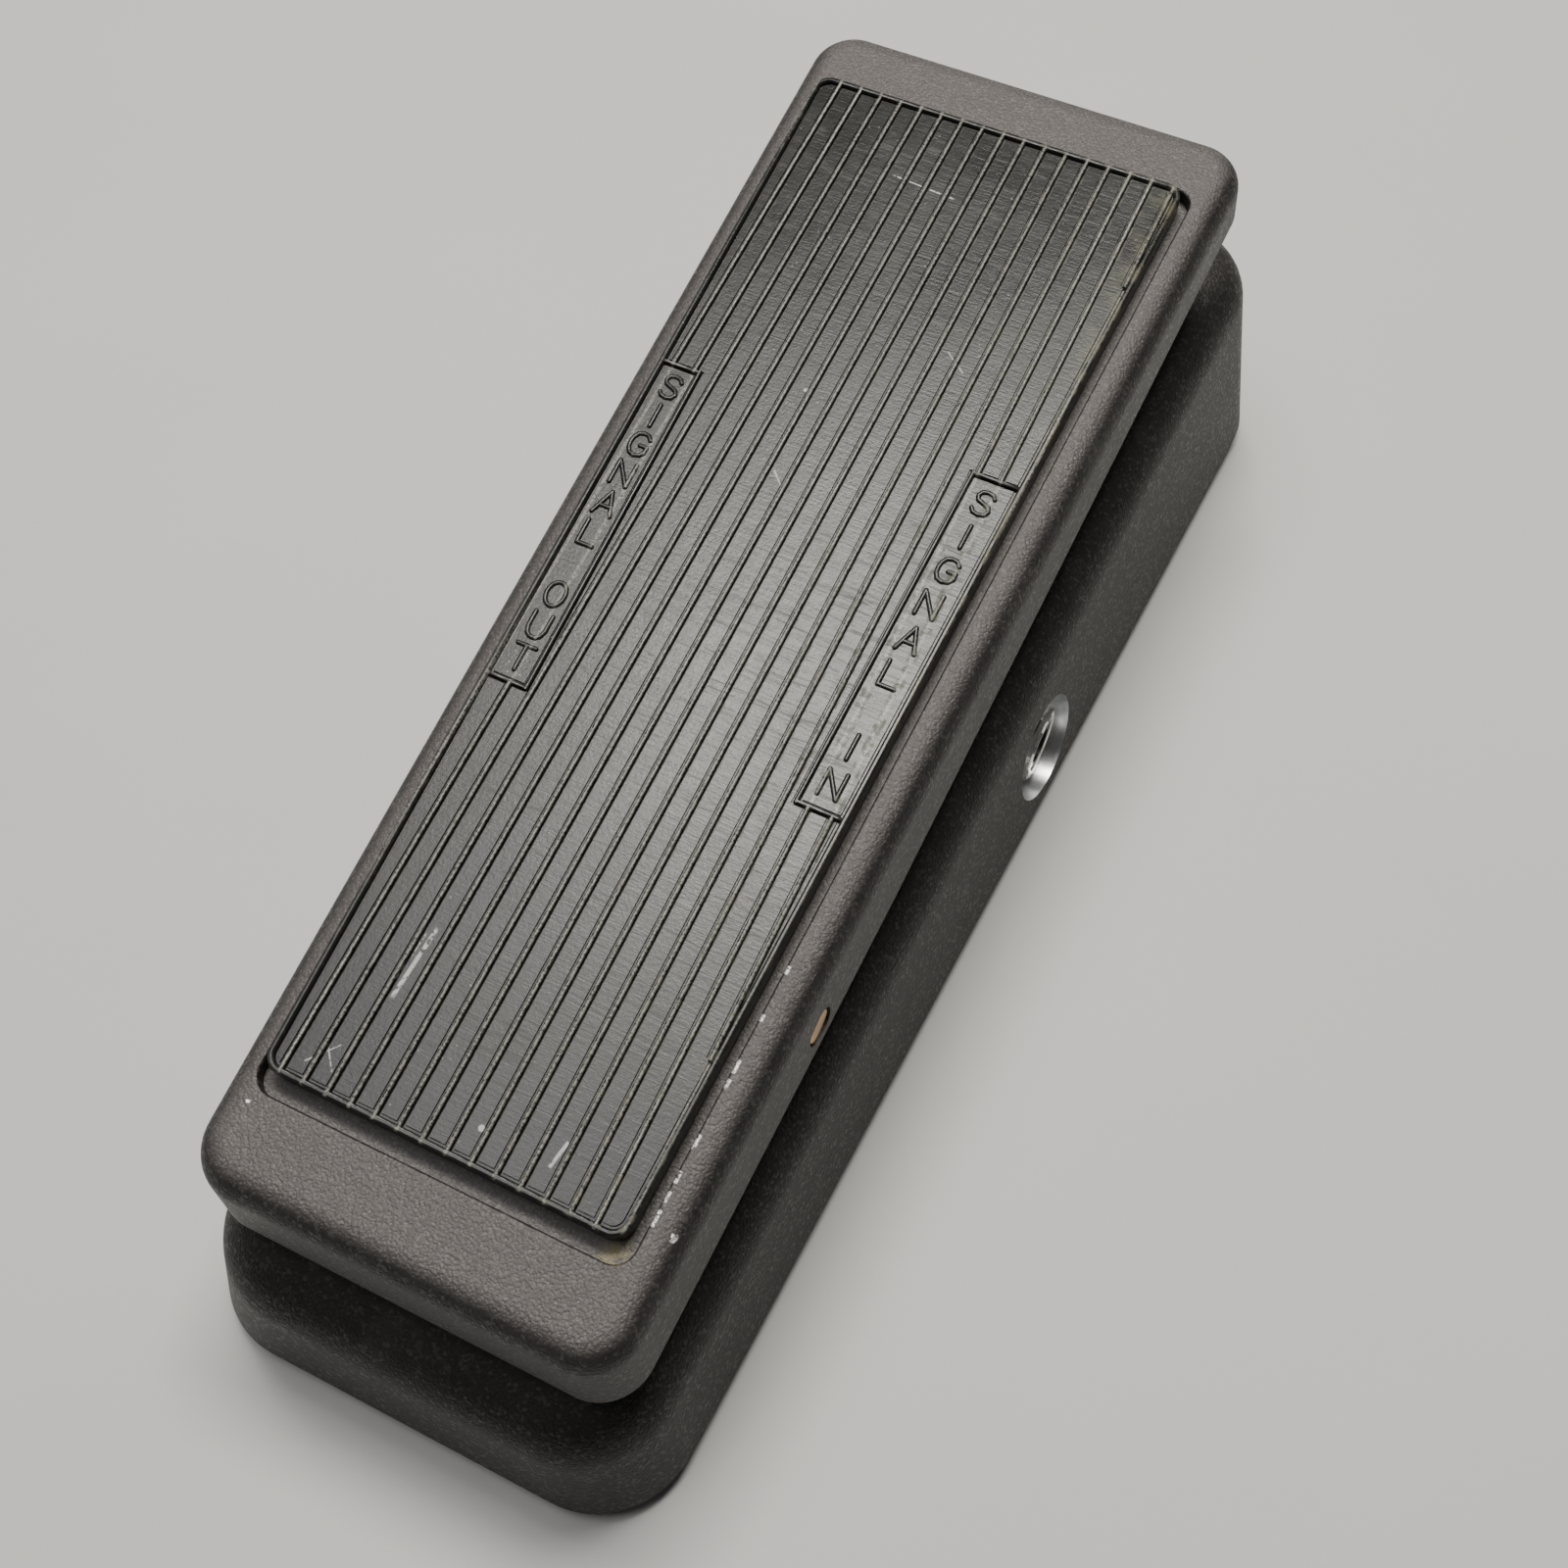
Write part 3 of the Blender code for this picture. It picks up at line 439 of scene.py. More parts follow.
    def scratch(self, p, q, width, wobble=0.0004, scale=180.0):
        """1 on a thin line from p to q in metres, broken up by noise."""
        p, q = Vector(p), Vector(q)
        d = q - p
        length = d.length
        d.normalize()
        sub = self.tree.nodes.new("ShaderNodeVectorMath")
        sub.operation = 'SUBTRACT'
        sub.inputs[1].default_value = p
        self.link(self.coord, sub.inputs[0])
        dot = self.tree.nodes.new("ShaderNodeVectorMath")
        dot.operation = 'DOT_PRODUCT'
        dot.inputs[1].default_value = d
        self.link(sub.outputs[0], dot.inputs[0])
        along = dot.outputs["Value"]
        lng = self.tree.nodes.new("ShaderNodeVectorMath")
        lng.operation = 'LENGTH'
        self.link(sub.outputs[0], lng.inputs[0])
        sq = self.math('SUBTRACT', self.math('MULTIPLY', lng.outputs["Value"], lng.outputs["Value"]),
                       self.math('MULTIPLY', along, along))
        dist = self.math('SQRT', self.math('MAXIMUM', sq, 0.0))
        wob = self.math('MULTIPLY', self.math('SUBTRACT', self.noise(scale, 2.0), 0.5), wobble)
        dist = self.math('ABSOLUTE', self.math('SUBTRACT', dist, self.math('ABSOLUTE', wob)))
        line = self.step(dist, width, width * 0.3)
        ends = self.math('MULTIPLY', self.step(along, 0.0, length * 0.08),
                         self.step(along, length, length * 0.92))
        broken = self.step(self.noise(1400.0, 2.0), 0.36, 0.5)
        return self.math('MULTIPLY', self.math('MULTIPLY', line, ends), broken)


def pad_point(u, v, w=PAD_FLOOR):
    return TREADLE @ (Vector((u, v, w)) * MM)


def powder_coat(name, chips=(), dashes=(), glue=None, top_light_strength=0.25, gloss=0.42):
    m = Look(name, specular=gloss)
    cells = m.voronoi(2300.0, 'SMOOTH_F1')
    grain = m.noise(4200.0, 3.0, 0.6)
    broad = m.noise(240.0, 3.0, 0.5)
    height = m.math('ADD', cells, m.math('MULTIPLY', grain, 0.75))
    height = m.math('ADD', height, m.math('MULTIPLY', broad, 0.3))
    normal = m.bump(height, 0.00018, 1.0)
    tint = m.mix(m.step(broad, 0.35, 0.68), (0.0110, 0.0094, 0.0087), (0.019, 0.0165, 0.0155))
    # painted shade: the low dimples of the pebble bump get a darker colour
    low = m.step(cells, 0.10, 0.42)
    tint = m.mix(m.math('MULTIPLY', low, 0.5), tint, (0.005, 0.0043, 0.0040))
    # painted glints: random cells of the coat get a lighter colour, as sparkle highlights
    spark = m.voronoi(1900.0, 'F1', "Color")
    sep = m.tree.nodes.new("ShaderNodeSeparateColor")
    m.link(spark, sep.inputs[0])
    glint = m.step(sep.outputs[0], 0.74, 0.96)
    tint = m.mix(m.math('MULTIPLY', glint, 0.13), tint, (0.20, 0.185, 0.176))
    dust = m.step(m.noise(55.0, 4.0, 0.7), 0.52, 0.78)
    # painted highlight: faces that look up get a lighter colour, as if lit from above, less in the dimples
    facing = m.tree.nodes.new("ShaderNodeNewGeometry")
    upright = m.tree.nodes.new("ShaderNodeSeparateXYZ")
    m.link(facing.outputs["Normal"], upright.inputs[0])
    top_painted_light = m.math('MULTIPLY', m.step(upright.outputs[2], 0.70, 0.99), m.span(grain, 0.75, 1.0))
    top_painted_light = m.math('MULTIPLY', top_painted_light, m.math('SUBTRACT', 1.0, m.math('MULTIPLY', low, 0.45)))
    tint = m.mix(m.math('MULTIPLY', top_painted_light, top_light_strength), tint, (0.170, 0.154, 0.148))
    tint = m.mix(m.math('MULTIPLY', dust, 0.12), tint, (0.16, 0.150, 0.140))
    rough = m.math('ADD', m.span(grain, 0.38, 0.52), m.math('MULTIPLY', dust, 0.08))
    rough = m.math('SUBTRACT', rough, m.math('MULTIPLY', glint, 0.14))
    metal = None
    if glue is not None:
        stain = m.math('MULTIPLY', m.near(glue[0], glue[1], 0.45),
                       m.step(m.noise(700.0, 4.0, 0.7), 0.36, 0.56))
        tint = m.mix(m.math('MULTIPLY', stain, 0.8), tint, (0.21, 0.185, 0.105))
    worn = None
    for point, radius in chips:
        one = m.math('MULTIPLY', m.near(point, radius, 0.7), m.step(m.noise(1100.0, 3.0, 0.6), 0.46, 0.52))
        worn = one if worn is None else m.math('MAXIMUM', worn, one)
    for p, q, w in dashes:
        one = m.scratch(p, q, w, 0.0002)
        worn = one if worn is None else m.math('MAXIMUM', worn, one)
    if worn is not None:
        tint = m.mix(worn, tint, (0.72, 0.71, 0.68))
        metal = m.math('MULTIPLY', worn, 0.6)
        rough = m.math('SUBTRACT', rough, m.math('MULTIPLY', worn, 0.10))
    return m.done(tint, rough, normal, metal)


def tread_rubber(name, lettering=False):
    m = Look(name, specular=0.36)
    x = m.axis(0)
    # worn film: fine scuffs that run across the tread in shallow arcs
    arcs = m.mapping(scale=(95.0, 1500.0, 300.0), rotation=(0.0, 0.0, 0.10))
    scuff = m.noise(1.0, 3.0, 0.62, vector=arcs, distortion=1.6)
    arcs2 = m.mapping(scale=(60.0, 900.0, 200.0), rotation=(0.0, 0.0, -0.35), location=(3.0, 7.0, 0.0))
    scuff2 = m.noise(1.0, 3.0, 0.65, vector=arcs2, distortion=2.2)
    patch = m.noise(42.0, 4.0, 0.6)
    fine = m.noise(1900.0, 3.0, 0.6)
    where = m.step(patch, 0.36, 0.60)
    scuffed = m.math('MULTIPLY', m.step(scuff, 0.52, 0.66), where)
    scuffed2 = m.math('MULTIPLY', m.step(scuff2, 0.58, 0.70), m.step(patch, 0.56, 0.40))
    scuffs = m.math('MAXIMUM', scuffed, scuffed2)
    tint = m.mix(m.step(patch, 0.30, 0.7), (0.0080, 0.0088, 0.0080), (0.016, 0.0166, 0.0142))
    tint = m.mix(m.math('MULTIPLY', scuffs, 0.15), tint, (0.110, 0.110, 0.097))
    speck = m.voronoi(700.0, 'F1')
    dust = m.math('MULTIPLY', m.step(speck, 0.15, 0.09), m.step(m.noise(150.0, 2.0), 0.56, 0.66))
    # dust and brown dirt that settles along the ribs
    ph = m.math('FRACT', m.math('ADD', m.math('DIVIDE', m.math('SUBTRACT', x, RIB_OFFSET * MM),
                                             RIB_PITCH * MM), 20.0))
    off = m.math('ABSOLUTE', m.math('SUBTRACT', ph, 0.5))
    groove = m.step(off, 0.27, 0.33)
    side = m.step(x, -0.012, 0.030)
    dirt = m.math('MULTIPLY', groove, m.step(m.noise(520.0, 4.0, 0.7), 0.46, 0.64))
    dirt = m.math('MULTIPLY', dirt, m.span(side, 0.35, 0.95))
    tint = m.mix(m.math('MULTIPLY', dirt, 0.42), tint, (0.150, 0.140, 0.098))
    edge = m.math('MULTIPLY', m.step(x, 0.0258, 0.0325), m.step(m.noise(260.0, 4.0, 0.7), 0.44, 0.62))
    tint = m.mix(m.math('MULTIPLY', edge, 0.28), tint, (0.19, 0.165, 0.098))
    # painted highlight: the crests of the ribs get a lighter colour, broken up by fine noise
    crest_highlight = m.math('MULTIPLY', m.step(off, 0.405, 0.46), m.step(m.noise(2600.0, 2.0), 0.36, 0.58))
    tint = m.mix(m.math('MULTIPLY', crest_highlight, 0.60), tint, (0.240, 0.234, 0.208))
    tint = m.mix(m.math('MULTIPLY', dust, 0.6), tint, (0.24, 0.235, 0.215))
    rough = m.span(patch, 0.22, 0.36)
    rough = m.math('ADD', rough, m.math('MULTIPLY', scuffs, 0.16))
    rough = m.math('ADD', rough, m.math('MULTIPLY', dirt, 0.25))
    height = m.math('ADD', m.math('MULTIPLY', scuff, 0.4), m.math('MULTIPLY', fine, 0.4))
    height = m.math('ADD', height, m.math('MULTIPLY', patch, 1.1))
    normal = m.bump(height, 0.00008, 0.9)
    if not lettering:
        marks = None
        for p, q, w in ((pad_point(-18.4, -24.7), pad_point(-17.6, -12.5), 0.00040),
                        (pad_point(-19.3, -22.0), pad_point(-18.7, -14.0), 0.00018),
                        (pad_point(-14.5, 138.1), pad_point(-2.3, 137.2), 0.00016),
                        (pad_point(-7.1, 76.3), pad_point(-3.6, 72.8), 0.00014),
                        (pad_point(13.4, -36.6), pad_point(14.3, -31.6), 0.00034),
                        (pad_point(-24.0, -33.0), pad_point(-20.4, -37.4), 0.00012),
                        (pad_point(-25.0, -37.6), pad_point(-21.2, -33.2), 0.00012),
                        (pad_point(9.0, 108.0), pad_point(13.2, 104.8), 0.00012)):
            one = m.scratch(p, q, w)
            marks = one if marks is None else m.math('MAXIMUM', marks, one)
        for p, r in ((pad_point(2.5, -35.2), 0.0006), (pad_point(-9.0, 92.0), 0.0004)):
            marks = m.math('MAXIMUM', marks, m.near(p, r, 0.6))
        tint = m.mix(m.math('MULTIPLY', marks, 0.78), tint, (0.50, 0.51, 0.50))
        rough = m.math('ADD', rough, m.math('MULTIPLY', marks, 0.2))
    return m.done(tint, rough, normal)


def brushed(name, color, low, high, stretch=(3000.0, 60.0, 60.0), wear=0.25, bump=0.00003):
    m = Look(name, metallic=1.0)
    lines = m.noise(1.0, 3.0, 0.6, vector=m.mapping(scale=stretch))
    spots = m.noise(260.0, 3.0, 0.6)
    dark = tuple(c * (1.0 - wear) for c in color)
    tint = m.mix(m.step(spots, 0.35, 0.68), dark, color)
    tint = m.mix(m.math('MULTIPLY', lines, 0.35), tint, tuple(min(1.0, c * 1.12) for c in color))
    rough = m.math('ADD', m.span(lines, low, high), m.math('MULTIPLY', spots, 0.06))
    return m.done(tint, rough, m.bump(lines, bump, 0.7))


def machined(name, color):
    """Bare metal cut by a turning tool round the jack's axis."""
    m = Look(name, metallic=1.0)
    y = m.math('SUBTRACT', m.axis(1), JACK_Y * MM)
    z = m.math('SUBTRACT', m.axis(2), JACK_Z * MM)
    r = m.math('SQRT', m.math('ADD', m.math('MULTIPLY', y, y), m.math('MULTIPLY', z, z)))
    n = m.node("ShaderNodeTexNoise", Scale=5200.0, Detail=2.0, Roughness=0.5)
    n.noise_dimensions = '1D'
    m.link(m.math('ADD', r, m.axis(0)), n.inputs["W"])
    rings = n.outputs["Fac"]
    blot = m.noise(420.0, 3.0, 0.6)
    tint = m.mix(m.step(blot, 0.4, 0.7), color, tuple(c * 0.8 for c in color))
    rough = m.math('ADD', m.span(rings, 0.22, 0.36), m.math('MULTIPLY', blot, 0.05))
    return m.done(tint, rough, m.bump(rings, 0.00003, 0.6))


def plated(name, color, low=0.12, high=0.28):
    m = Look(name, metallic=1.0)
    haze = m.noise(520.0, 4.0, 0.6)
    pits = m.step(m.voronoi(1500.0), 0.10, 0.05)
    tint = m.mix(m.math('MULTIPLY', pits, 0.5), color, tuple(c * 0.45 for c in color))
    tint = m.mix(m.step(haze, 0.5, 0.8), tint, tuple(c * 0.85 for c in color))
    return m.done(tint, m.span(haze, low, high), m.bump(haze, 0.00002, 0.5))


def moulded(name, color, low=0.36, high=0.52, grain=1300.0, depth=0.00005):
    m = Look(name, specular=0.5)
    g = m.noise(grain, 3.0, 0.55)
    cloud = m.noise(90.0, 3.0, 0.55)
    tint = m.mix(cloud, tuple(c * 0.82 for c in color), tuple(min(1.0, c * 1.15) for c in color))
    return m.done(tint, m.span(g, low, high), m.bump(g, depth, 0.6))


def soft_rubber(name):
    m = Look(name, specular=0.4)
    g = m.noise(1100.0, 4.0, 0.6)
    dust = m.step(m.noise(240.0, 3.0, 0.6), 0.5, 0.75)
    tint = m.mix(m.math('MULTIPLY', dust, 0.4), (0.016, 0.016, 0.016), (0.06, 0.058, 0.054))
    return m.done(tint, m.span(g, 0.62, 0.85), m.bump(g, 0.00012, 0.7))


CHIPS = ((pad_point(33.0, -36.9, 11.75), 0.0011), (pad_point(-29.4, -46.0, 11.6), 0.0008),
         (pad_point(36.0, 62.0, 9.5), 0.0008))
def recess_edge(v):
    return RECESS_SHIFT + RECESS_HALF_HEEL + 0.0268 * (v - RECESS_HEEL) + 0.42


DASHES = [(pad_point(recess_edge(v - d), v - d, 11.88), pad_point(recess_edge(v + d), v + d, 11.88), 0.00042)
          for v, d in ((-12.7, 1.1), (-15.4, 0.8), (-24.3, 1.2), (-29.6, 1.0), (-32.6, 0.9), (-35.7, 1.3),
                       (2.7, 0.7), (-5.0, 0.6))]
GLUE = (pad_point(26.6, -42.3, 9.5), 0.0033)

# the treadle coat gets a strong painted highlight on its upward faces, the base coat a weak one
COAT_TREADLE = powder_coat("powder_coat_treadle", CHIPS, DASHES, GLUE, top_light_strength=0.85)
COAT_BASE = powder_coat("powder_coat_base", top_light_strength=0.12, gloss=0.26)
PLATE_PAINT = moulded("bottom_plate_paint", (0.022, 0.022, 0.022), 0.42, 0.60, 900.0, 0.00009)
RUBBER = tread_rubber("tread_rubber")
RUBBER_LETTER = tread_rubber("tread_rubber_lettering", True)
FOOT = soft_rubber("foot_rubber")
BARE = machined("bare_casting", (0.78, 0.79, 0.80))
NICKEL = plated("nickel", (0.80, 0.79, 0.76))
STEEL = brushed("zinc_steel", (0.60, 0.60, 0.585), 0.28, 0.42)
SHEET = brushed("plated_sheet", (0.56, 0.565, 0.56), 0.30, 0.46, (60.0, 2600.0, 60.0))
ALU = brushed("turned_aluminium", (0.72, 0.72, 0.73), 0.25, 0.38)
BRASS = brushed("tarnished_brass", (0.62, 0.40, 0.20), 0.26, 0.44, (900.0, 900.0, 900.0), 0.35)
NYLON = moulded("nylon", (0.74, 0.72, 0.65), 0.38, 0.5)
BLACK = moulded("black_moulding", (0.020, 0.020, 0.021), 0.30, 0.46)
WIRES = {"input_wire": moulded("wire_red", (0.42, 0.03, 0.02)),
         "output_wire": moulded("wire_white", (0.66, 0.65, 0.62)),
         "pot_ground_wire": moulded("wire_black", (0.02, 0.02, 0.02)),
         "ground_link_wire": moulded("wire_black_link", (0.02, 0.02, 0.02))}


def dress(obj, body, slot, *mats, replaces=None):
    obj.data.materials.clear()
    for m in mats:
        obj.data.materials.append(m)
    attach(obj, body)
    for n in (replaces or [slot]):
        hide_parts(n)
    return obj


# ------------------------------------------------------------------- housing
def base_top(y):
    return BASE_TOP_HEEL + SLOPE * (y + BASE_LENGTH / 2.0)


def base_half(y, z):
    f = (y + BASE_LENGTH / 2.0) / BASE_LENGTH
    return (BASE_HALF_HEEL + (BASE_HALF_TOE - BASE_HALF_HEEL) * f
            - BASE_DRAFT * (z - BASE_FLOOR))


def base_block(inset, drop, z0):
    half_length = BASE_LENGTH / 2.0 - inset
    corners = {}
    for sy in (False, True):
        sign = 1.0 if sy else -1.0
        k = (BASE_DRAFT_TOE if sy else BASE_DRAFT_HEEL) * sign
        for up in (False, True):
            if up:
                z = ((BASE_TOP_HEEL - drop + SLOPE * (BASE_LENGTH / 2.0 + sign * half_length)
                      + SLOPE * k * BASE_FLOOR) / (1.0 + SLOPE * k))
            else:
                z = z0
            y = sign * half_length - k * (z - BASE_FLOOR)
            x = base_half(y, z) - inset
            for sx in (False, True):
                corners[(sx, sy, up)] = (x if sx else -x, y, z)
    return corners


base = to_object("base_housing_fine",
                 new_wedge(base_block(0.0, 0.0, BASE_FLOOR), BASE_CORNER, BASE_SHOULDER, 20, 10))
step_corners = base_block(1.4, 0.0, BASE_FLOOR - 2.0)
for key in list(step_corners):
    if key[2]:
        low = step_corners[(key[0], key[1], False)]
        step_corners[key] = (low[0], low[1], BASE_FLOOR + 1.5)
work = [('DIFFERENCE', new_wedge(base_block(BASE_WALL, BASE_WALL, BASE_FLOOR - 2.0),
                                 BASE_CORNER - BASE_WALL, BASE_SHOULDER - BASE_WALL, 12, 5)),
        ('DIFFERENCE', new_wedge(step_corners, BASE_CORNER - 1.4, 0.0, 20))]
adds = [new_rod('Z', 4.0, BASE_FLOOR + 1.5, base_top(by) - 1.4, (bx, by), 32) for bx, by in BOSSES]
adds += [new_rod('Z', 7.0, base_top(sy) - 2.0, 30.2, (sx, sy), 48) for sx, sy in HEEL_STOPS]
adds += [new_rod('Z', 7.0, base_top(sy) - 2.0, 44.6, (sx, sy), 48) for sx, sy in TOE_STOPS]
adds += [new_rod('Z', 3.5, 34.5, base_top(ey) - 1.2, (ex, ey), 32) for ex, ey in EARS]
work.append(('UNION', merge(*adds)))
for side in (-1.0, 1.0):
    x0, x1 = sorted((side * 17.0, side * 25.0))
    outline = [(PIVOT_Y + 6.0 * math.cos(math.pi * i / 36.0), PIVOT_Z + 6.0 * math.sin(math.pi * i / 36.0))
               for i in range(37)]
    foot_z = base_top(PIVOT_Y) - 1.6
    for k in range(5):
        t = k / 4.0
        outline.append((PIVOT_Y - 6.0 - 3.4 * t * t, foot_z + 5.0 * (1.0 - t)))
    for k in range(5):
        t = 1.0 - k / 4.0
        outline.append((PIVOT_Y + 6.0 + 3.4 * t * t, foot_z + 5.0 * (1.0 - t)))
    work.append(('UNION', new_prism(outline, 'X', x0, x1)))
work.append(('UNION', new_box(-8.0, 8.0, -70.0, -48.0, 30.4, 33.6)))
for side in (-1.0, 1.0):
    panel = {}
    for sy in (False, True):
        y = JACK_Y + (12.0 if sy else -12.0)
        for up in (False, True):
            z = 28.5 if up else BASE_FLOOR + 1.5
            lo, hi = sorted((side * PANEL_X, side * (base_half(y, z) - 1.5)))
            panel[(False, sy, up)] = (lo, y, z)
            panel[(True, sy, up)] = (hi, y, z)
    work.append(('UNION', new_wedge(panel)))
for side in (-1.0, 1.0):
    a, b = sorted((side * SPOTFACE_X, side * 52.0))
    work.append(('DIFFERENCE', new_rod('X', SPOTFACE_R, a, b, (JACK_Y, JACK_Z), 96)))
cuts = []
for side in (-1.0, 1.0):
    a, b = sorted((side * 33.0, side * 46.0))
    cuts.append(new_rod('X', 4.95, a, b, (JACK_Y, JACK_Z), 64))
cuts += [new_rod('Z', 1.8, 1.0, 19.0, (bx, by), 24) for bx, by in BOSSES]
cuts += [new_rod('Z', 1.6, 33.0, base_top(ey) - 2.2, (ex, ey), 20) for ex, ey in EARS]
cuts.append(new_box(-4.6, 4.6, 38.4, 47.6, 28.0, 50.0))
cuts.append(new_rod('X', 4.5, -28.0, -14.0, (PIVOT_Y, PIVOT_Z), 48))
cuts.append(new_rod('X', 4.5, 14.0, 28.0, (PIVOT_Y, PIVOT_Z), 48))
cuts.append(new_rod('Z', 1.8, 26.0, 36.0, (0.0, PIVOT_Y - 8.2), 24))
work.append(('DIFFERENCE', merge(*cuts)))
carve(base, work)
finish_mesh(base)
dress(base, "base", "base_housing", COAT_BASE, BARE)
for poly in base.data.polygons:
    inside = True
    for i in poly.vertices:
        c = base.data.vertices[i].co / MM
        if abs(c.x) < SPOTFACE_X - 0.05 or math.hypot(c.y - JACK_Y, c.z - JACK_Z) > SPOTFACE_R + 0.03:
            inside = False
            break
    if inside:
        poly.material_index = 1

# --------------------------------------------------------------- bottom plate
plate = {}
for sy in (False, True):
    for up in (False, True):
        z = BASE_FLOOR + (1.2 if up else 0.0)
        y = (1.0 if sy else -1.0) * (BASE_LENGTH / 2.0 - 1.8)
        for sx in (False, True):
            x = base_half(y, BASE_FLOOR) - 1.8
            plate[(sx, sy, up)] = (x if sx else -x, y, z)
bottom = to_object("bottom_plate_fine", new_wedge(plate, BASE_CORNER - 1.8, 0.2, 20, 2, 0.25))
carve(bottom, [('DIFFERENCE', merge(*[new_rod('Z', 2.0, 1.0, 8.0, (bx, by), 32)
                                      for bx, by in BOSSES]))])
finish_mesh(bottom)
dress(bottom, "base", "bottom_plate", PLATE_PAINT)

# ------------------------------------------------- feet, foot screws, bumpers
for (bx, by), corner in zip(BOSSES, CORNERS):
    foot = to_object("rubber_foot_%s_fine" % corner, turned('Z', [
        (2.0, 3.2), (2.0, 2.2), (3.7, 2.2), (3.8, 2.0), (3.8, 0.25), (4.1, 0.0), (7.5, 0.0),
        (7.9, 0.15), (8.0, 0.5), (7.35, 2.9), (7.0, 3.2)], (bx, by), 64))
    finish_mesh(foot)
    dress(foot, "base", "rubber_foot_" + corner, FOOT)
    screw = new_rod('Z', 1.45, 1.6, 15.0, (bx, by), 32, 0.3)
    obj = to_object("foot_screw_%s_fine" % corner, screw)
    slots = merge(new_box(bx - 1.5, bx + 1.5, by - 0.3, by + 0.3, 0.2, 1.35))
    slots2 = merge(new_box(bx - 0.3, bx + 0.3, by - 1.5, by + 1.5, 0.2, 1.35))
    carve(obj, [('UNION', new_rod('Z', 3.3, 0.5, 1.9, (bx, by), 48, 0.5)),
                ('DIFFERENCE', slots), ('DIFFERENCE', slots2)])
    finish_mesh(obj)
    dress(obj, "base", "foot_screw_" + corner, STEEL)

for stops, z0, z1, end in ((HEEL_STOPS, 30.5, 32.6, "heel"), (TOE_STOPS, 44.9, 46.8, "toe")):
    for (sx, sy), side in zip(stops, ("left", "right")):
        pad = to_object("%s_bumper_%s_fine" % (end, side),
                        new_rod('Z', 5.5, z0, z1, (sx, sy), 48, 0.5))
        finish_mesh(pad)
        dress(pad, "base", "%s_bumper_%s" % (end, side), FOOT)

# --------------------------------------------------------------------- jacks
for side, label in ((1.0, "input"), (-1.0, "output")):
    def span(a, b):
        return tuple(sorted((side * a, side * b)))
    x0, x1 = span(12.2, 36.2)
    jack = to_object(label + "_jack_fine",
                     new_box(x0, x1, JACK_Y - 8.0, JACK_Y + 8.0, JACK_Z - 8.0, JACK_Z + 8.0, 1.2, 3))
    a, b = span(35.0, 43.8)
    # threaded nose: a row of shallow grooves
    prof = [(3.3, side * 35.0), (4.6, side * 35.0)]
    for k in range(9):
        xg = 36.6 + 0.8 * k
        prof += [(4.6, side * xg), (4.25, side * (xg + 0.4))]
    prof += [(4.6, side * 43.5), (4.3, side * 43.8), (3.3, side * 43.8)]
    nose = turned('X', prof, (JACK_Y, JACK_Z), 64)
    c, d = span(8.6, 13.0)
    tags = merge(new_box(c, d, JACK_Y + 3.0, JACK_Y + 6.0, JACK_Z + 4.0, JACK_Z + 4.8, 0.15),
                 new_box(c, d, JACK_Y + 3.0, JACK_Y + 6.0, JACK_Z - 4.8, JACK_Z - 4.0, 0.15))
    e, f = span(14.0, 45.0)
    carve(jack, [('UNION', nose), ('UNION', tags),
                 ('DIFFERENCE', new_rod('X', 3.25, e, f, (JACK_Y, JACK_Z), 64))])
    finish_mesh(jack)
    dress(jack, "base", label + "_jack", BLACK)
    s = side
    washer = to_object(label + "_jack_washer_fine", turned('X', [
        (4.95, s * 41.8), (7.7, s * 41.8), (7.8, s * 41.9), (7.8, s * 42.2), (7.7, s * 42.3),
        (4.95, s * 42.3)], (JACK_Y, JACK_Z), 72))
    finish_mesh(washer)
    dress(washer, "base", label + "_jack_washer", NICKEL)

    def hexagon(k, t, r, a):
        flat = (12.0 / 2.0) / math.cos((t % (math.pi / 3.0)) - math.pi / 6.0)
        if r > 900.0:
            return flat if k in (2, 3) else min(flat, 6.05), a
        return r, a
    nut = to_object(label + "_jack_nut_fine", turned('X', [
        (4.95, s * 42.6), (999.0, s * 42.6), (999.0, s * 42.85), (999.0, s * 43.75),
        (999.0, s * 44.0), (5.2, s * 44.0), (4.95, s * 43.8)], (JACK_Y, JACK_Z), 96,
        math.radians(30.0), hexagon))
    finish_mesh(nut, 25.0)
    dress(nut, "base", label + "_jack_nut", NICKEL)


# ------------------------------------------------------------------- treadle
def tr_half(y):
    f = (y - TR_HEEL) / (TR_TOE - TR_HEEL)
    return TR_HALF_HEEL + (TR_HALF_TOE - TR_HALF_HEEL) * f


def treadle_block(inset, top, bottom_z):
    corners = {}
    for sy in (False, True):
        for up in (False, True):
            z = top if up else bottom_z
            lean = TR_DRAFT * (TR_TOP - z) - inset
            heel = TR_DRAFT_HEEL * (TR_TOP - z) - inset
            y = (TR_TOE + lean) if sy else (TR_HEEL - heel)
            x = tr_half(y) + lean
            for sx in (False, True):
                corners[(sx, sy, up)] = (x if sx else -x, y, z)
    return corners


def pad_half(y):
    return PAD_HALF_HEEL + (PAD_HALF_TOE - PAD_HALF_HEEL) * (y - PAD_HEEL) / (PAD_TOE - PAD_HEEL)


def pad_quad(grow):
    """Corners of the pad's outline, grown all round."""
    y0, y1 = PAD_HEEL - grow, PAD_TOE + grow
    x0, x1 = pad_half(y0) + grow, pad_half(y1) + grow
    s = PAD_SHIFT
    return [(s - x0, y0), (s + x0, y0), (s + x1, y1), (s - x1, y1)]


def recess_quad(grow):
    y0, y1 = RECESS_HEEL - grow, RECESS_TOE + grow
    x0, x1 = RECESS_HALF_HEEL + grow, RECESS_HALF_TOE + grow
    s = RECESS_SHIFT
    return [(s - x0, y0), (s + x0, y0), (s + x1, y1), (s - x1, y1)]


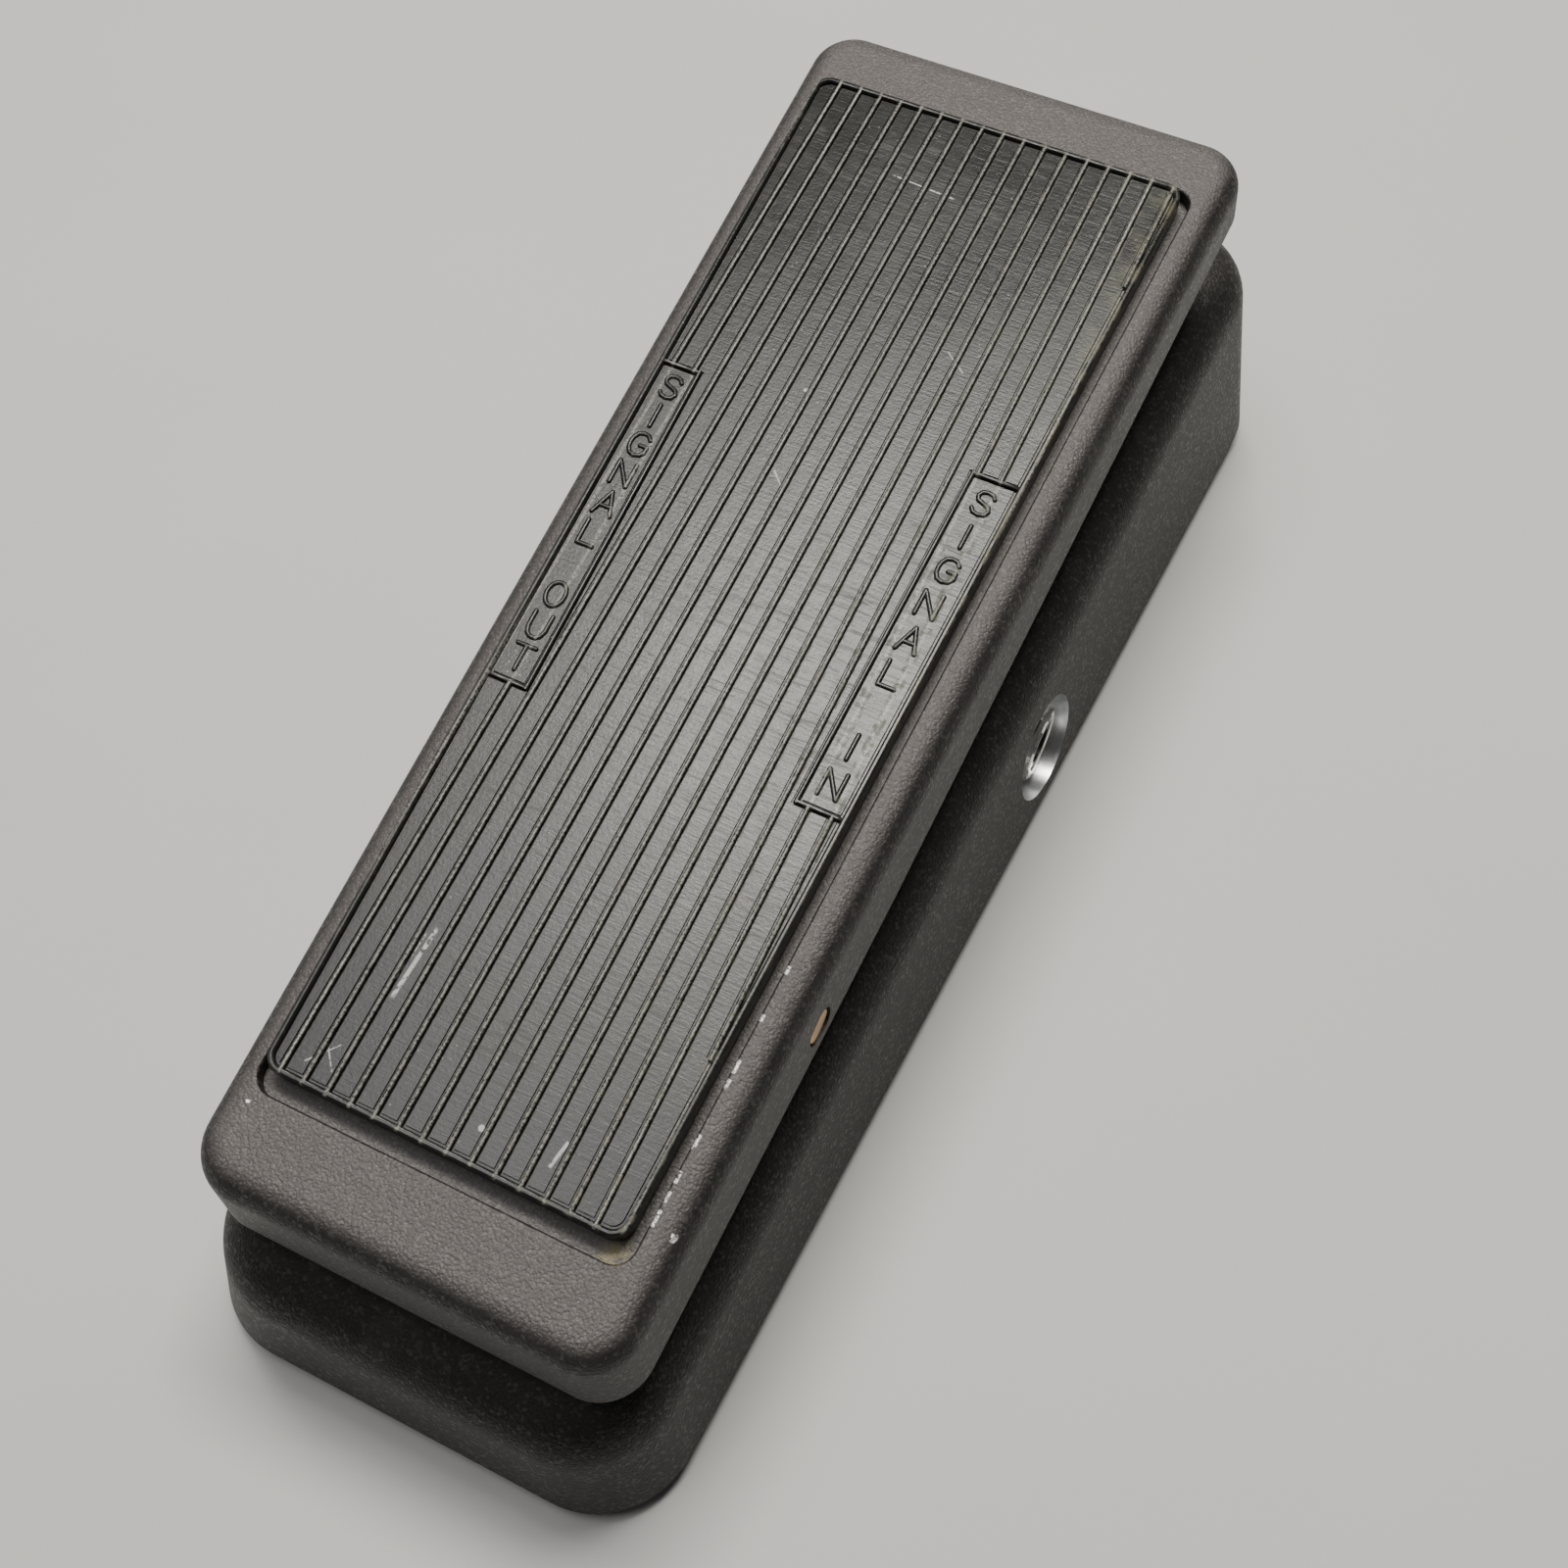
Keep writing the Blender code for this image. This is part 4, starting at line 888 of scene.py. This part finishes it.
tread = to_object("treadle_fine", new_wedge(treadle_block(0.0, TR_TOP, TR_BOTTOM),
                                            TR_CORNER, TR_EDGE, 16, 10))
cut_line = [(TR_KNEE, TR_BOTTOM),
            (TR_TOE + 12.0, TR_BOTTOM + (TR_BOTTOM_TOE - TR_BOTTOM)
             * (TR_TOE + 12.0 - TR_KNEE) / (TR_TOE - TR_KNEE)),
            (TR_TOE + 12.0, TR_BOTTOM - 6.0), (TR_KNEE, TR_BOTTOM - 6.0)]
work = [('DIFFERENCE', new_wedge(treadle_block(TR_WALL, PLATE_UNDER, TR_BOTTOM - 4.0),
                                 TR_CORNER - TR_WALL, 1.5, 10, 4)),
        ('DIFFERENCE', new_prism(cut_line, 'X', -60.0, 60.0)),
        ('DIFFERENCE', loft([(recess_quad(g), 3.2 + g, z) for g, z in (
            (0.0, PLATE_TOP), (0.0, TR_TOP - 0.60), (0.05, TR_TOP - 0.36), (0.18, TR_TOP - 0.16),
            (0.36, TR_TOP - 0.05), (0.60, TR_TOP + 0.01), (0.60, TR_TOP + 3.0))])),
        ('UNION', merge(*[new_rod('Z', 3.0, -4.5, PLATE_UNDER + 1.0, (x, -47.1), 40) for x in (-16.0, 16.0)],
                        *[new_rod('Z', 3.0, 0.1, PLATE_UNDER + 1.0, (x, 148.9), 40) for x in (-20.0, 20.0)])),
        ('DIFFERENCE', merge(new_rod('X', PIN_R + 0.2, -45.0, 45.0, (0.0, 0.0), 48),
                             new_rod('Z', 1.5, PLATE_UNDER - 3.0, PLATE_UNDER + 2.2, (-11.0, 99.8), 20),
                             new_rod('Z', 1.5, PLATE_UNDER - 3.0, PLATE_UNDER + 2.2, (11.0, 99.8), 20)))]
carve(tread, work)
finish_mesh(tread, matrix=TREADLE)
dress(tread, "treadle", "treadle", COAT_TREADLE)

pin = to_object("pivot_pin_fine", new_rod('X', PIN_R, -PIN_END, PIN_END, (0.0, 0.0), 64, 0.35))
finish_mesh(pin, matrix=TREADLE)
dress(pin, "treadle", "pivot_pin", BRASS)

# ----------------------------------------------------------------- tread pad
RIM = 1.05
GROOVE_W, GROOVE_D = 1.56, 0.30
PLAQUE_Y0, PLAQUE_Y1 = 26.1, 88.1
BEAD = [(-0.42, -0.55), (-0.41, -0.15), (-0.36, 0.18), (-0.27, 0.37), (-0.12, 0.47), (0.12, 0.47),
        (0.27, 0.37), (0.36, 0.18), (0.41, -0.15), (0.42, -0.55)]


def bar(x0, y0, x1, y1, section):
    """A straight bar of the given cross-section between two points of the tread floor."""
    d = Vector((x1 - x0, y1 - y0, 0.0)).normalized()
    n = Vector((-d.y, d.x, 0.0))
    bm = bmesh.new()
    rings = [[bm.verts.new((Vector((px, py, PAD_FLOOR + h)) + n * w) * MM) for w, h in section]
             for px, py in ((x0, y0), (x1, y1))]
    for i in range(len(section)):
        j = (i + 1) % len(section)
        bm.faces.new((rings[0][i], rings[0][j], rings[1][j], rings[1][i]))
    bm.faces.new(rings[0][::-1])
    bm.faces.new(rings[1])
    return bm


def slot_section(width):
    return [(-width / 2.0, 0.4), (-width / 2.0 + 0.10, -GROOVE_D), (width / 2.0 - 0.10, -GROOVE_D),
            (width / 2.0, 0.4)]


def inner_left(y):
    return -24.56 - 0.0295 * (y - 26.3)


def inner_right(y):
    return 20.82 + 0.0199 * (y - 26.0)


runs = []                      # every straight bead as (x0, y0, x1, y1)
for i in range(-8, 9):
    x = RIB_OFFSET + RIB_PITCH * i
    # where this rib comes clear of the side rim
    need = abs(x - PAD_SHIFT) + RIM + 0.25
    y_free = PAD_HEEL + (need - PAD_HALF_HEEL) / (PAD_HALF_TOE - PAD_HALF_HEEL) * (PAD_TOE - PAD_HEEL)
    y0, y1 = max(PAD_HEEL + 0.6, y_free), PAD_TOE - 0.6
    if y0 > y1 - 6.0:
        continue
    if x < inner_left(57.0) + 0.3 or x > inner_right(57.0) - 0.3:
        if y0 < PLAQUE_Y0 - 1.0:
            runs.append((x, y0, x, PLAQUE_Y0))
        if y1 > PLAQUE_Y1 + 1.0:
            runs.append((x, max(y0, PLAQUE_Y1), x, y1))
    else:
        runs.append((x, y0, x, y1))
frames = []
for y in (PLAQUE_Y0, PLAQUE_Y1):
    frames.append((PAD_SHIFT - pad_half(y) + 0.6, y, inner_left(y), y))
    frames.append((inner_right(y), y, PAD_SHIFT + pad_half(y) - 0.6, y))
sides = [(inner_left(PLAQUE_Y0), PLAQUE_Y0 - 0.3, inner_left(PLAQUE_Y1), PLAQUE_Y1 + 0.3),
         (inner_right(PLAQUE_Y0), PLAQUE_Y0 - 0.3, inner_right(PLAQUE_Y1), PLAQUE_Y1 + 0.3)]


def shorten(run, a):
    x0, y0, x1, y1 = run
    d = Vector((x1 - x0, y1 - y0)).normalized() * a
    return (x0 + d.x, y0 + d.y, x1 - d.x, y1 - d.y)


slab = to_object("tread_floor", loft([(pad_quad(-1.42), 1.6, PAD_BOTTOM + 1.0),
                                      (pad_quad(-1.42), 1.6, PAD_FLOOR - 0.06),
                                      (pad_quad(-1.48), 1.55, PAD_FLOOR)]))
carve(slab, [('DIFFERENCE', merge(*[bar(*shorten(r, 0.2), slot_section(GROOVE_W)) for r in runs])),
             ('DIFFERENCE', merge(*[bar(*shorten(r, -0.2), slot_section(1.45)) for r in frames])),
             ('DIFFERENCE', merge(*[bar(*shorten(r, -0.2), slot_section(1.45)) for r in sides]))])
slab_bm = bmesh.new()
slab_bm.from_mesh(slab.data)
slab_mesh = slab.data
bpy.data.objects.remove(slab)
bpy.data.meshes.remove(slab_mesh)

pad = to_object("tread_pad_fine", loft([(pad_quad(g), 3.0 + g, z) for g, z in (
    (-0.2, PAD_BOTTOM), (0.0, PAD_BOTTOM + 0.2), (0.0, PAD_TOP - 0.42), (-0.07, PAD_TOP - 0.20),
    (-0.22, PAD_TOP - 0.05), (-0.40, PAD_TOP))]))
carve(pad, [('DIFFERENCE', loft([(pad_quad(-g), 3.0 - g, z) for g, z in (
                (1.10, PAD_FLOOR - GROOVE_D), (1.00, PAD_FLOOR + 0.12), (0.86, PAD_TOP - 0.12),
                (0.70, PAD_TOP - 0.02), (0.62, PAD_TOP + 0.02), (0.62, PAD_TOP + 1.0))])),
            ('UNION', slab_bm),
            ('UNION', merge(*[bar(*r, BEAD) for r in runs])),
            ('UNION', merge(*[bar(*r, BEAD) for r in frames])),
            ('UNION', merge(*[bar(*r, BEAD) for r in sides]))])
finish_mesh(pad, 40.0, matrix=TREADLE)
dress(pad, "treadle", "tread_pad", RUBBER)

# raised plain words: which side takes the input and which gives the output
STROKES = {
    "I": [[(0.5, 0.0), (0.5, 1.0)]],
    "N": [[(0.08, 0.0), (0.08, 1.0), (0.92, 0.0), (0.92, 1.0)]],
    "A": [[(0.05, 0.0), (0.5, 1.0), (0.95, 0.0)], [(0.23, 0.36), (0.77, 0.36)]],
    "L": [[(0.14, 1.0), (0.14, 0.0), (0.90, 0.0)]],
    "S": [[(0.88, 0.80), (0.76, 0.95), (0.5, 1.0), (0.24, 0.95), (0.12, 0.77), (0.22, 0.59), (0.5, 0.5),
           (0.78, 0.41), (0.88, 0.23), (0.76, 0.05), (0.5, 0.0), (0.24, 0.05), (0.10, 0.20)]],
    "G": [[(0.90, 0.80), (0.74, 0.96), (0.5, 1.0), (0.24, 0.93), (0.09, 0.72), (0.06, 0.5), (0.09, 0.28),
           (0.24, 0.07), (0.5, 0.0), (0.76, 0.06), (0.92, 0.22), (0.92, 0.46)], [(0.92, 0.46), (0.56, 0.46)]],
    "U": [[(0.08, 1.0), (0.08, 0.36), (0.18, 0.12), (0.36, 0.01), (0.5, 0.0), (0.64, 0.01),
           (0.82, 0.12), (0.92, 0.36), (0.92, 1.0)]],
    "T": [[(0.05, 1.0), (0.95, 1.0)], [(0.5, 1.0), (0.5, 0.0)]],
    "O": [[(0.5 + 0.44 * math.sin(2.0 * math.pi * k / 20.0), 0.5 + 0.5 * math.cos(2.0 * math.pi * k / 20.0))
           for k in range(21)]],
    " ": [],
}


def split_sharp(points):
    """Break a path where it turns sharply, so each leg is its own bead."""
    legs, leg = [], [points[0]]
    for a, b, c in zip(points, points[1:], points[2:]):
        leg.append(b)
        turn = (Vector(b) - Vector(a)).angle(Vector(c) - Vector(b))
        if turn > math.radians(50.0):
            legs.append(leg)
            leg = [b]
    leg.append(points[-1])
    legs.append(leg)
    return legs


def stroke_mesh(points, radius, closed):
    """A round-topped bead along a path on the tread floor, capped with domes."""
    bm = bmesh.new()
    section = [(math.cos(math.pi * k / 8.0) * radius, math.sin(math.pi * k / 8.0) * radius * 0.95)
               for k in range(9)]
    section = section + [(-radius, -0.25), (radius, -0.25)]
    pts = [Vector((p[0], p[1], 0.0)) for p in points]
    if closed:
        pts = pts[:-1]
    n = len(pts)
    rings = []
    for i, p in enumerate(pts):
        if closed:
            a, b = pts[i - 1], pts[(i + 1) % n]
        else:
            a, b = pts[max(0, i - 1)], pts[min(n - 1, i + 1)]
        d = (b - a).normalized()
        side_v = Vector((-d.y, d.x, 0.0))
        if not closed and 0 < i < n - 1:
            d0, d1 = (p - a).normalized(), (b - p).normalized()
            grow = 1.0 / max(0.5, math.cos(d0.angle(d1) / 2.0))
        else:
            grow = 1.0
        rings.append([bm.verts.new((Vector((p.x, p.y, PAD_FLOOR + h)) + side_v * w * grow) * MM)
                      for w, h in section])
    last = n if closed else n - 1
    for i in range(last):
        a, b = rings[i], rings[(i + 1) % n]
        for k in range(len(section)):
            j = (k + 1) % len(section)
            bm.faces.new((a[k], a[j], b[j], b[k]))
    if not closed:
        bm.faces.new(rings[0])
        bm.faces.new(rings[-1][::-1])
        for p in (pts[0], pts[-1]):
            dome = bmesh.new()
            bmesh.ops.create_uvsphere(dome, u_segments=16, v_segments=10, radius=radius * MM)
            for v in dome.verts:
                v.co = Vector((v.co.x + p.x * MM, v.co.y + p.y * MM,
                               (PAD_FLOOR * MM) + max(v.co.z, -0.0002) * 0.94))
            data = bpy.data.meshes.new("d")
            dome.to_mesh(data)
            dome.free()
            bm.from_mesh(data)
            bpy.data.meshes.remove(data)
    return bm


def word(text, centre_x, slope, name):
    beads = []
    high, wide = 4.35, 3.5
    pitch = (PLAQUE_Y1 - PLAQUE_Y0 - 2.6) / len(text)
    for k, ch in enumerate(text):
        cy = PLAQUE_Y1 - 1.3 - pitch * (k + 0.5)
        cx = centre_x(cy)
        for path in STROKES[ch]:
            for leg in ([path] if ch == "O" else split_sharp(path)):
                pts = []
                for u, v in leg:
                    px, py = (u - 0.5) * wide, (v - 0.5) * high
                    pts.append((cx + px + slope * py, cy + py))
                beads.append(stroke_mesh(pts, 0.41, ch == "O"))
    obj = to_object(name, merge(*beads))
    finish_mesh(obj, 50.0, weighted=False, matrix=TREADLE)
    obj.data.materials.clear()
    obj.data.materials.append(RUBBER_LETTER)
    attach(obj, "treadle")
    return obj


word("SIGNAL OUT", lambda y: (PAD_SHIFT - pad_half(y) + RIM + inner_left(y)) / 2.0, -0.028, "output_lettering")
word("SIGNAL IN", lambda y: (PAD_SHIFT + pad_half(y) - RIM + inner_right(y)) / 2.0, 0.023, "input_lettering")

# --------------------------------------------- carried-over pieces' materials
CARRIED = {
    "bracket_screw_heel": STEEL, "bracket_screw_toe": STEEL, "rack_bracket_screw_left": STEEL,
    "rack_bracket_screw_right": STEEL, "tension_screw": STEEL, "rack_pin": STEEL,
    "rack_pin_clip": STEEL, "pot_washer": NICKEL, "pot_nut": NICKEL, "pot_bracket": SHEET,
    "rack_bracket": SHEET, "tension_clamp": SHEET, "potentiometer": SHEET, "pot_shaft": ALU,
    "rack_guide": NYLON, "pivot_bush_left": NYLON, "pivot_bush_right": NYLON,
    "gear_rack": NYLON, "pinion_gear": NYLON,
}
CARRIED.update(WIRES)
for name, mat in CARRIED.items():
    obj = NODES[name]
    obj.data.materials.clear()
    obj.data.materials.append(mat)
    obj.data.shade_smooth()
    obj.data.set_sharp_from_angle(angle=math.radians(34.0))

# ---------------------------------------------------- camera, light and floor
AZ, EL, ROLL = 0.483, 1.065, -0.035
fwd = Vector((-math.sin(AZ) * math.cos(EL), math.cos(AZ) * math.cos(EL), -math.sin(EL)))
right = Vector((math.cos(AZ), math.sin(AZ), 0.0))
up = right.cross(fwd)
cam_x = math.cos(ROLL) * right + math.sin(ROLL) * up
cam_y = -math.sin(ROLL) * right + math.cos(ROLL) * up
cam_data = bpy.data.cameras.new("camera")
cam = bpy.data.objects.new("camera", cam_data)
bpy.context.scene.collection.objects.link(cam)
place = Matrix.Identity(4)
for i in range(3):
    place[i][0], place[i][1], place[i][2] = cam_x[i], cam_y[i], -fwd[i]
place.translation = Vector((0.07632, -0.14104, 0.28942))
cam.matrix_world = place
cam_data.sensor_width = 36.0
cam_data.lens = 1806.85 / 1600.0 * 36.0
cam_data.clip_start = 0.005
bpy.context.scene.camera = cam

floor_bm = bmesh.new()
bmesh.ops.create_grid(floor_bm, x_segments=1, y_segments=1, size=3.0)
floor = to_object("floor", floor_bm)
floor.location.z = -0.0002
fm = Look("floor_pale", specular=0.3)
fcloud = fm.noise(9.0, 3.0)
fm.done(fm.mix(fcloud, (0.50, 0.495, 0.485), (0.545, 0.54, 0.53)), fm.span(fm.noise(500.0), 0.6, 0.75),
        fm.bump(fm.noise(900.0, 3.0), 0.0001, 0.3))
floor.data.materials.append(fm.mat)


def area(name, location, target, size, power, color=(1.0, 1.0, 1.0)):
    data = bpy.data.lights.new(name, 'AREA')
    data.shape = 'RECTANGLE'
    data.size, data.size_y = size
    data.energy, data.color = power, color
    obj = bpy.data.objects.new(name, data)
    bpy.context.scene.collection.objects.link(obj)
    obj.location = location
    obj.rotation_euler = (Vector(target) - Vector(location)).to_track_quat('-Z', 'Y').to_euler()
    return obj


area("key", (-0.09, 0.36, 1.12), (0.0, 0.0, 0.05), (0.62, 0.24), 19.0, (1.0, 0.975, 0.91))
area("sky", (-0.34, -0.12, 1.20), (0.0, -0.04, 0.0), (0.7, 0.4), 6.0, (1.0, 0.985, 0.98))
area("fill", (0.9, -0.7, 0.8), (0.0, 0.0, 0.0), (0.9, 0.9), 0.12)
world = bpy.data.worlds.new("studio")
bpy.context.scene.world = world
world.use_nodes = True
world.node_tree.nodes["Background"].inputs[0].default_value = (0.95, 0.96, 1.0, 1.0)
world.node_tree.nodes["Background"].inputs[1].default_value = 0.06
